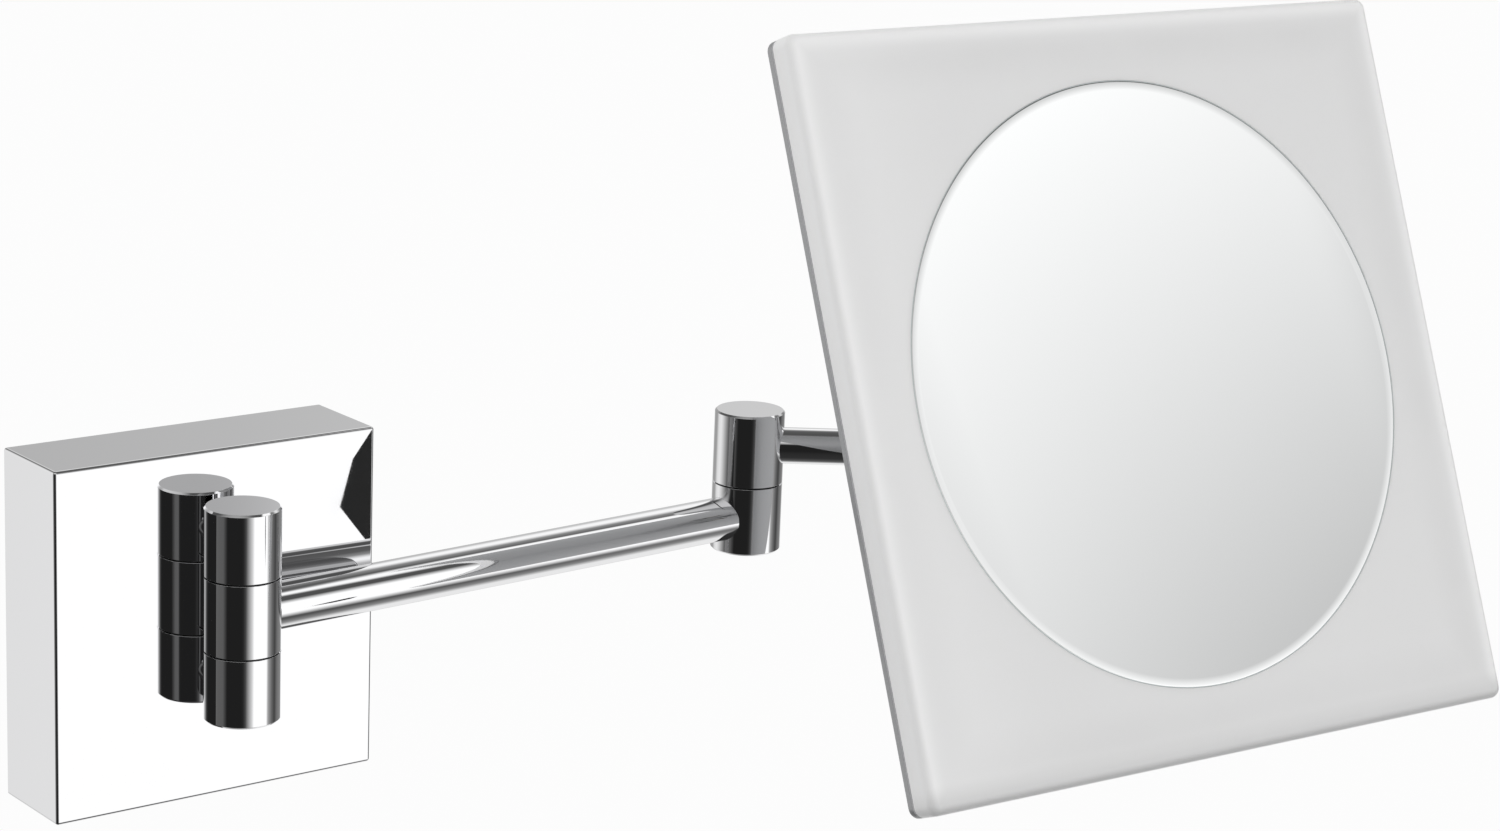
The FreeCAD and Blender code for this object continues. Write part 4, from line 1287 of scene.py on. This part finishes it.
    def cap_nut(self) -> bpy.types.Object:
        """Makes the cap nut: a hexagon with a domed closed end."""
        hole = self.bolt_radius + self.play
        nut = hexagon_nut("tilt_cap_nut", self.cap_corner, self.cap_height, hole)
        flat = self.cap_corner * math.cos(math.pi / 6) - self.play
        foot, top = self.cap_height - 0.6, self.cap_height + self.cap_crown
        rise = top - foot
        dome = [(flat * math.cos(turn), foot + rise * math.sin(turn)) for turn in arc(0, 90, 10)]
        inside = [(0.0, self.cap_height), (hole, self.cap_height), (hole, foot)]
        shell = turned("dome", [*inside, *dome], 96)
        combine(nut, shell, Cut.JOIN)
        return nut

    def slab(self, name: str, back: float, front: float) -> bpy.types.Object:
        """Cuts a square sheet with rounded corners, lying across X."""
        side = self.half_side
        sheet = block(name, (back, -side, -side), (front, side, side))

        def upright(edge: bmesh.types.BMEdge) -> bool:
            start, end = (vertex.co for vertex in edge.verts)
            return abs(end.x - start.x) > (front - back) / 2

        bevel_picked(sheet, upright, self.corner, 10)
        return sheet

    def back_plate(self) -> bpy.types.Object:
        """Makes the steel plate behind the panel, drilled for the hub's screws."""
        plate = self.slab("rear_plate", self.plate_back, self.plate_back + self.plate_sheet)
        soften(plate, 0.25, angle=60.0)
        for across, up in self.screw_centres():
            start = (self.plate_back - 1, across, up)
            hole = round_blank("hole", self.screw_radius + self.play, self.plate_sheet + 2, start, Axis.X, 48)
            combine(plate, hole, Cut.SUBTRACT)
        return plate

    def panel(self) -> bpy.types.Object:
        """Makes the frosted panel: a rounded front and a stepped seat for the glass."""
        panel = self.slab("etched_panel", self.panel_back, self.front)

        def front_rim(edge: bmesh.types.BMEdge) -> bool:
            return all(vertex.co.x > self.front - 0.01 for vertex in edge.verts)

        bevel_picked(panel, front_rim, self.panel_edge, 10)
        soften(panel, 0.2, angle=60.0)
        seat = self.glass + self.seat_play
        opening = seat - self.seat_width
        start = (self.panel_back - 1, 0.0, 0.0)
        deep = self.front - self.panel_back + 2
        combine(panel, round_blank("opening", opening, deep, start, Axis.X, 256), Cut.SUBTRACT)
        start = (self.front - self.seat_depth, 0.0, 0.0)
        combine(panel, round_blank("seat", seat, deep, start, Axis.X, 256), Cut.SUBTRACT)

        def seat_rim(edge: bmesh.types.BMEdge) -> bool:
            ends = [vertex.co for vertex in edge.verts]
            near = all(abs(math.hypot(end.y, end.z) - seat) < 0.01 for end in ends)
            return near and all(end.x > self.front - 0.01 for end in ends)

        bevel_picked(panel, seat_rim, 0.1, 2)
        return panel

    def bead(self) -> bpy.types.Object:
        """Makes the adhesive: a flat ring under the glass that rises into the gap round it."""
        floor = self.front - self.seat_depth
        top = floor + self.bead_sheet
        rim, wall = self.glass + self.play, self.glass + self.seat_play - self.play
        brim = self.front - self.bead_below
        outline = [(self.glass - self.bead_width, top), (self.glass - self.bead_width, floor)]
        outline += [(wall, floor), (wall, brim), (rim, brim - self.bead_below), (rim, top)]
        return turned("adhesive_bead", outline, 256)

    def mirror(self) -> bpy.types.Object:
        """Grinds the concave glass, with a narrow bevel round its rim."""
        far = self.glass_curve
        focus = self.front + math.sqrt(far * far - self.glass * self.glass)
        bevel_from = self.glass - self.glass_bevel
        steps = 40
        back = [self.glass * step / steps for step in range(steps + 1)]
        outline = [(reach, focus - math.sqrt((far + self.glass_sheet) ** 2 - reach**2)) for reach in back]
        outline.append((self.glass, self.front - self.glass_bevel_depth))
        front = [bevel_from * (1 - step / steps) for step in range(steps + 1)]
        outline += [(reach, focus - math.sqrt(far * far - reach * reach)) for reach in front]
        return turned("magnifying_glass", outline, 256)


def arc(start: float, end: float, steps: int) -> Iterator[float]:
    """The angles of an arc in radians, from one angle in degrees to another."""
    for step in range(steps + 1):
        yield math.radians(start + (end - start) * step / steps)


# Studio


@dataclass(frozen=True)
class Tone:
    """A grey of the surroundings: at an angle round, or so far towards the back."""

    towards: float
    grey: str


@dataclass(frozen=True)
class Card:
    """A soft bright card: heading from the camera, rise and half sizes in degrees."""

    heading: float
    rise: float
    half_width: float
    half_height: float
    grey: str


@dataclass(frozen=True)
class Lamp:
    """A broad lamp that lights matt surfaces and leaves no highlight in the chrome."""

    name: str
    at: Place
    size: float
    power: float


@dataclass
class Studio:
    """Camera, surroundings and floor, none of them part of the mirror."""

    lens: float = 87.73
    camera_at: Place = (-0.4359, -0.7912, 0.28035)
    camera_azimuth: float = -38.21
    camera_rise: float = 14.27
    camera_roll: float = 2.316
    backdrop: str = "F7F7F7"
    floor_drop: float = 0.8
    floor_radius: float = 1.5
    back_heading: float = 170.0
    strength: float = 1.05
    upper_fade: tuple[float, float] = (0.295, 0.525)
    lower_fade: tuple[float, float] = (-0.36, -0.62)
    ceiling: tuple[Tone, ...] = (
        Tone(-1.0, "D8D8D8"),
        Tone(-0.4, "B4B4B4"),
        Tone(-0.1, "585858"),
        Tone(0.0, "4C4C4C"),
        Tone(0.45, "5A5A5A"),
        Tone(0.62, "8A8A8A"),
        Tone(0.76, "F6F6F6"),
    )
    ground: tuple[Tone, ...] = (
        Tone(-1.0, "262626"),
        Tone(-0.3, "303030"),
        Tone(0.1, "545454"),
        Tone(0.28, "888888"),
        Tone(0.48, "E6E6E6"),
    )
    flag_from_wall: float = -0.3
    flag_outline: tuple[tuple[float, float], ...] = (
        (0.216, -0.04),
        (0.2085, -0.0495),
        (0.2035, -0.066),
        (0.2155, -0.081),
        (0.221, -0.073),
        (0.2205, -0.048),
    )
    cards: tuple[Card, ...] = (
        Card(110.0, 49.0, 22.0, 9.0, "FAFAFA"),
        Card(62.0, 17.0, 11.0, 14.0, "A8A8A8"),
    )
    bands: tuple[Tone, ...] = (
        Tone(-180, "C8C8C8"),
        Tone(-171, "B4B4B4"),
        Tone(-150, "9A9A9A"),
        Tone(-134, "9A9A9A"),
        Tone(-120, "DADADA"),
        Tone(-106, "E4E4E4"),
        Tone(-96, "CCCCCC"),
        Tone(-85, "A0A0A0"),
        Tone(-72, "5C5C5C"),
        Tone(-50, "585858"),
        Tone(-45, "444444"),
        Tone(-37, "1E1E1E"),
        Tone(6, "1E1E1E"),
        Tone(12, "262626"),
        Tone(19, "464646"),
        Tone(25, "848484"),
        Tone(31, "ACACAC"),
        Tone(38, "D2D2D2"),
        Tone(44, "FFFFFF"),
        Tone(85, "FFFFFF"),
        Tone(91, "A5A5A5"),
        Tone(98, "868686"),
        Tone(107, "646464"),
        Tone(120, "404040"),
        Tone(134, "6E6E6E"),
        Tone(153, "828282"),
        Tone(168, "D0D0D0"),
    )
    lamps: tuple[Lamp, ...] = (
        Lamp("key_lamp", (-0.9, -1.1, 1.1), 1.2, 15.0),
        Lamp("fill_lamp", (1.1, -1.3, 0.3), 1.2, 6.0),
    )

    def build(self) -> None:
        """Sets the camera, the surroundings and the floor."""
        self.camera()
        self.surroundings()
        self.light()
        self.flag()
        self.floor()
        bpy.context.scene.view_settings.view_transform = "Standard"

    def camera(self) -> None:
        """Puts the camera at its place, turned by its azimuth, rise and roll."""
        data = bpy.data.cameras.new("camera")
        data.lens = self.lens
        camera = bpy.data.objects.new("camera", data)
        bpy.context.collection.objects.link(camera)
        turn = (
            Matrix.Rotation(math.radians(self.camera_azimuth), 4, "Z")
            @ Matrix.Rotation(math.radians(90 - self.camera_rise), 4, "X")
            @ Matrix.Rotation(math.radians(self.camera_roll), 4, "Z")
        )
        camera.matrix_world = Matrix.Translation(self.camera_at) @ turn
        bpy.context.scene.camera = camera

    def ramp(self, tree: bpy.types.NodeTree, value: Socket, tones: Sequence[Tone], span: float) -> Socket:
        """Grades a value through a row of greys.

        Args:
            tree: The world's node tree.
            value: A value from minus half the span to half the span.
            tones: The greys, in order.
            span: The width of the value's range.

        Returns:
            The colour.
        """
        place = maths(tree, "ADD", maths(tree, "DIVIDE", value, span), 0.5)
        ramp = add_node(tree, "ShaderNodeValToRGB", {"Fac": place})
        stops = ramp.color_ramp.elements
        stops.remove(stops[1])
        for number, tone in enumerate(tones):
            at = tone.towards / span + 0.5
            stop = stops[0] if number == 0 else stops.new(at)
            stop.position = at
            stop.color = linear(tone.grey)
        return ramp.outputs["Color"]

    def surroundings(self) -> None:
        """Makes the studio that the chrome sees: bands all round, a ceiling, a ground, a card."""
        world = bpy.data.worlds.new("studio")
        world.use_nodes = True
        tree = world.node_tree
        way = add_node(tree, "ShaderNodeTexCoord", {}).outputs["Generated"]
        turned_way = add_node(
            tree,
            "ShaderNodeVectorRotate",
            {"Vector": way, "Angle": math.radians(-self.camera_azimuth)},
            rotation_type="Z_AXIS",
        ).outputs[0]
        split = add_node(tree, "ShaderNodeSeparateXYZ", {"Vector": turned_way})
        right, up = split.outputs["X"], split.outputs["Z"]
        ahead = maths(tree, "MULTIPLY", split.outputs["Y"], -1.0)
        heading = maths(tree, "DEGREES", maths(tree, "ARCTAN2", right, ahead))
        rise = maths(tree, "DEGREES", maths(tree, "ARCSINE", up))
        back = math.radians(self.back_heading)
        backward = maths(
            tree,
            "ADD",
            maths(tree, "MULTIPLY", right, math.sin(back)),
            maths(tree, "MULTIPLY", ahead, math.cos(back)),
        )
        seen = self.ramp(tree, heading, (*self.bands, Tone(180, self.bands[0].grey)), 360)
        for tones, (start, end) in ((self.ceiling, self.upper_fade), (self.ground, self.lower_fade)):
            inputs = {"Value": up, 1: start, 2: end, 3: 0.0, 4: 1.0}
            fade = add_node(tree, "ShaderNodeMapRange", inputs).outputs[0]
            seen = blend(tree, fade, seen, self.ramp(tree, backward, tones, 2))
        for card in self.cards:
            beside = maths(tree, "ABSOLUTE", maths(tree, "SUBTRACT", heading, card.heading))
            above = maths(tree, "ABSOLUTE", maths(tree, "SUBTRACT", rise, card.rise))
            across = graded(tree, beside, card.half_width * 0.5, card.half_width, 1.0, 0.0)
            over = graded(tree, above, card.half_height * 0.5, card.half_height, 1.0, 0.0)
            seen = blend(tree, maths(tree, "MULTIPLY", across, over), seen, linear(card.grey))
        ray = add_node(tree, "ShaderNodeLightPath", {}).outputs["Is Camera Ray"]
        shown = blend(tree, ray, seen, linear(self.backdrop))
        background = tree.nodes["Background"]
        tree.links.new(shown, background.inputs["Color"])
        background.inputs["Strength"].default_value = self.strength
        bpy.context.scene.world = world

    def light(self) -> None:
        """Hangs the broad lamps, aimed at the middle of the mirror's reach."""
        middle = (Vector(CAD_BOX[0]) + Vector(CAD_BOX[1])) / 2
        for lamp in self.lamps:
            data = bpy.data.lights.new(lamp.name, "AREA")
            data.size = lamp.size
            data.energy = lamp.power
            hung = bpy.data.objects.new(lamp.name, data)
            bpy.context.collection.objects.link(hung)
            aim = (middle - Vector(lamp.at)).to_track_quat("-Z", "Y").to_matrix().to_4x4()
            hung.matrix_world = Matrix.Translation(lamp.at) @ aim
            hung.visible_glossy = False
            hung.visible_camera = False

    def flag(self) -> None:
        """Hangs a small black flag that only the chrome sees."""
        bpy.ops.object.select_all(action="DESELECT")
        bpy.ops.mesh.primitive_circle_add(vertices=len(self.flag_outline), radius=0.02, fill_type="NGON")
        flag = bpy.context.object
        flag.name = "black_flag"
        for vertex, (across, up) in zip(flag.data.vertices, self.flag_outline):
            vertex.co = (across, self.flag_from_wall, up)
        flag.data.materials.append(PlainPlastic("black_flag", light="060606", dark="040404").material())
        flag.visible_camera = False
        flag.visible_diffuse = False
        flag.visible_shadow = False

    def floor(self) -> None:
        """Lays a pale round floor well below the mirror."""
        bpy.ops.object.select_all(action="DESELECT")
        bpy.ops.mesh.primitive_circle_add(
            vertices=96, radius=self.floor_radius, fill_type="NGON", location=(0.1, 0.0, -self.floor_drop)
        )
        floor = bpy.context.object
        floor.name = "studio_floor"
        floor.data.materials.append(PlainPlastic("pale_floor", light="F2F2F1", dark="EFEFEE", glow=0.6).material())
        floor.visible_glossy = False
        floor.visible_diffuse = False


def main() -> None:
    """Builds the mirror from the wall outwards, then the studio."""
    logging.basicConfig(level=logging.INFO, format="%(message)s")
    wall_unit, arm, rod = WallUnit(), LongArm(), ShortRod()
    swivel, head = Swivel(), MirrorHead()
    elbow = FrictionHinge("elbow", arm, arm.length, 18.8, 6.02, rod, 20.0, 5.02)
    turntable = FrictionHinge("head", rod, rod.length, 20.0, 5.02, swivel, 21.0, 5.02)
    for unit in (wall_unit, arm, elbow, rod, turntable, swivel, head, Studio()):
        unit.build()


if __name__ == "__main__":
    main()
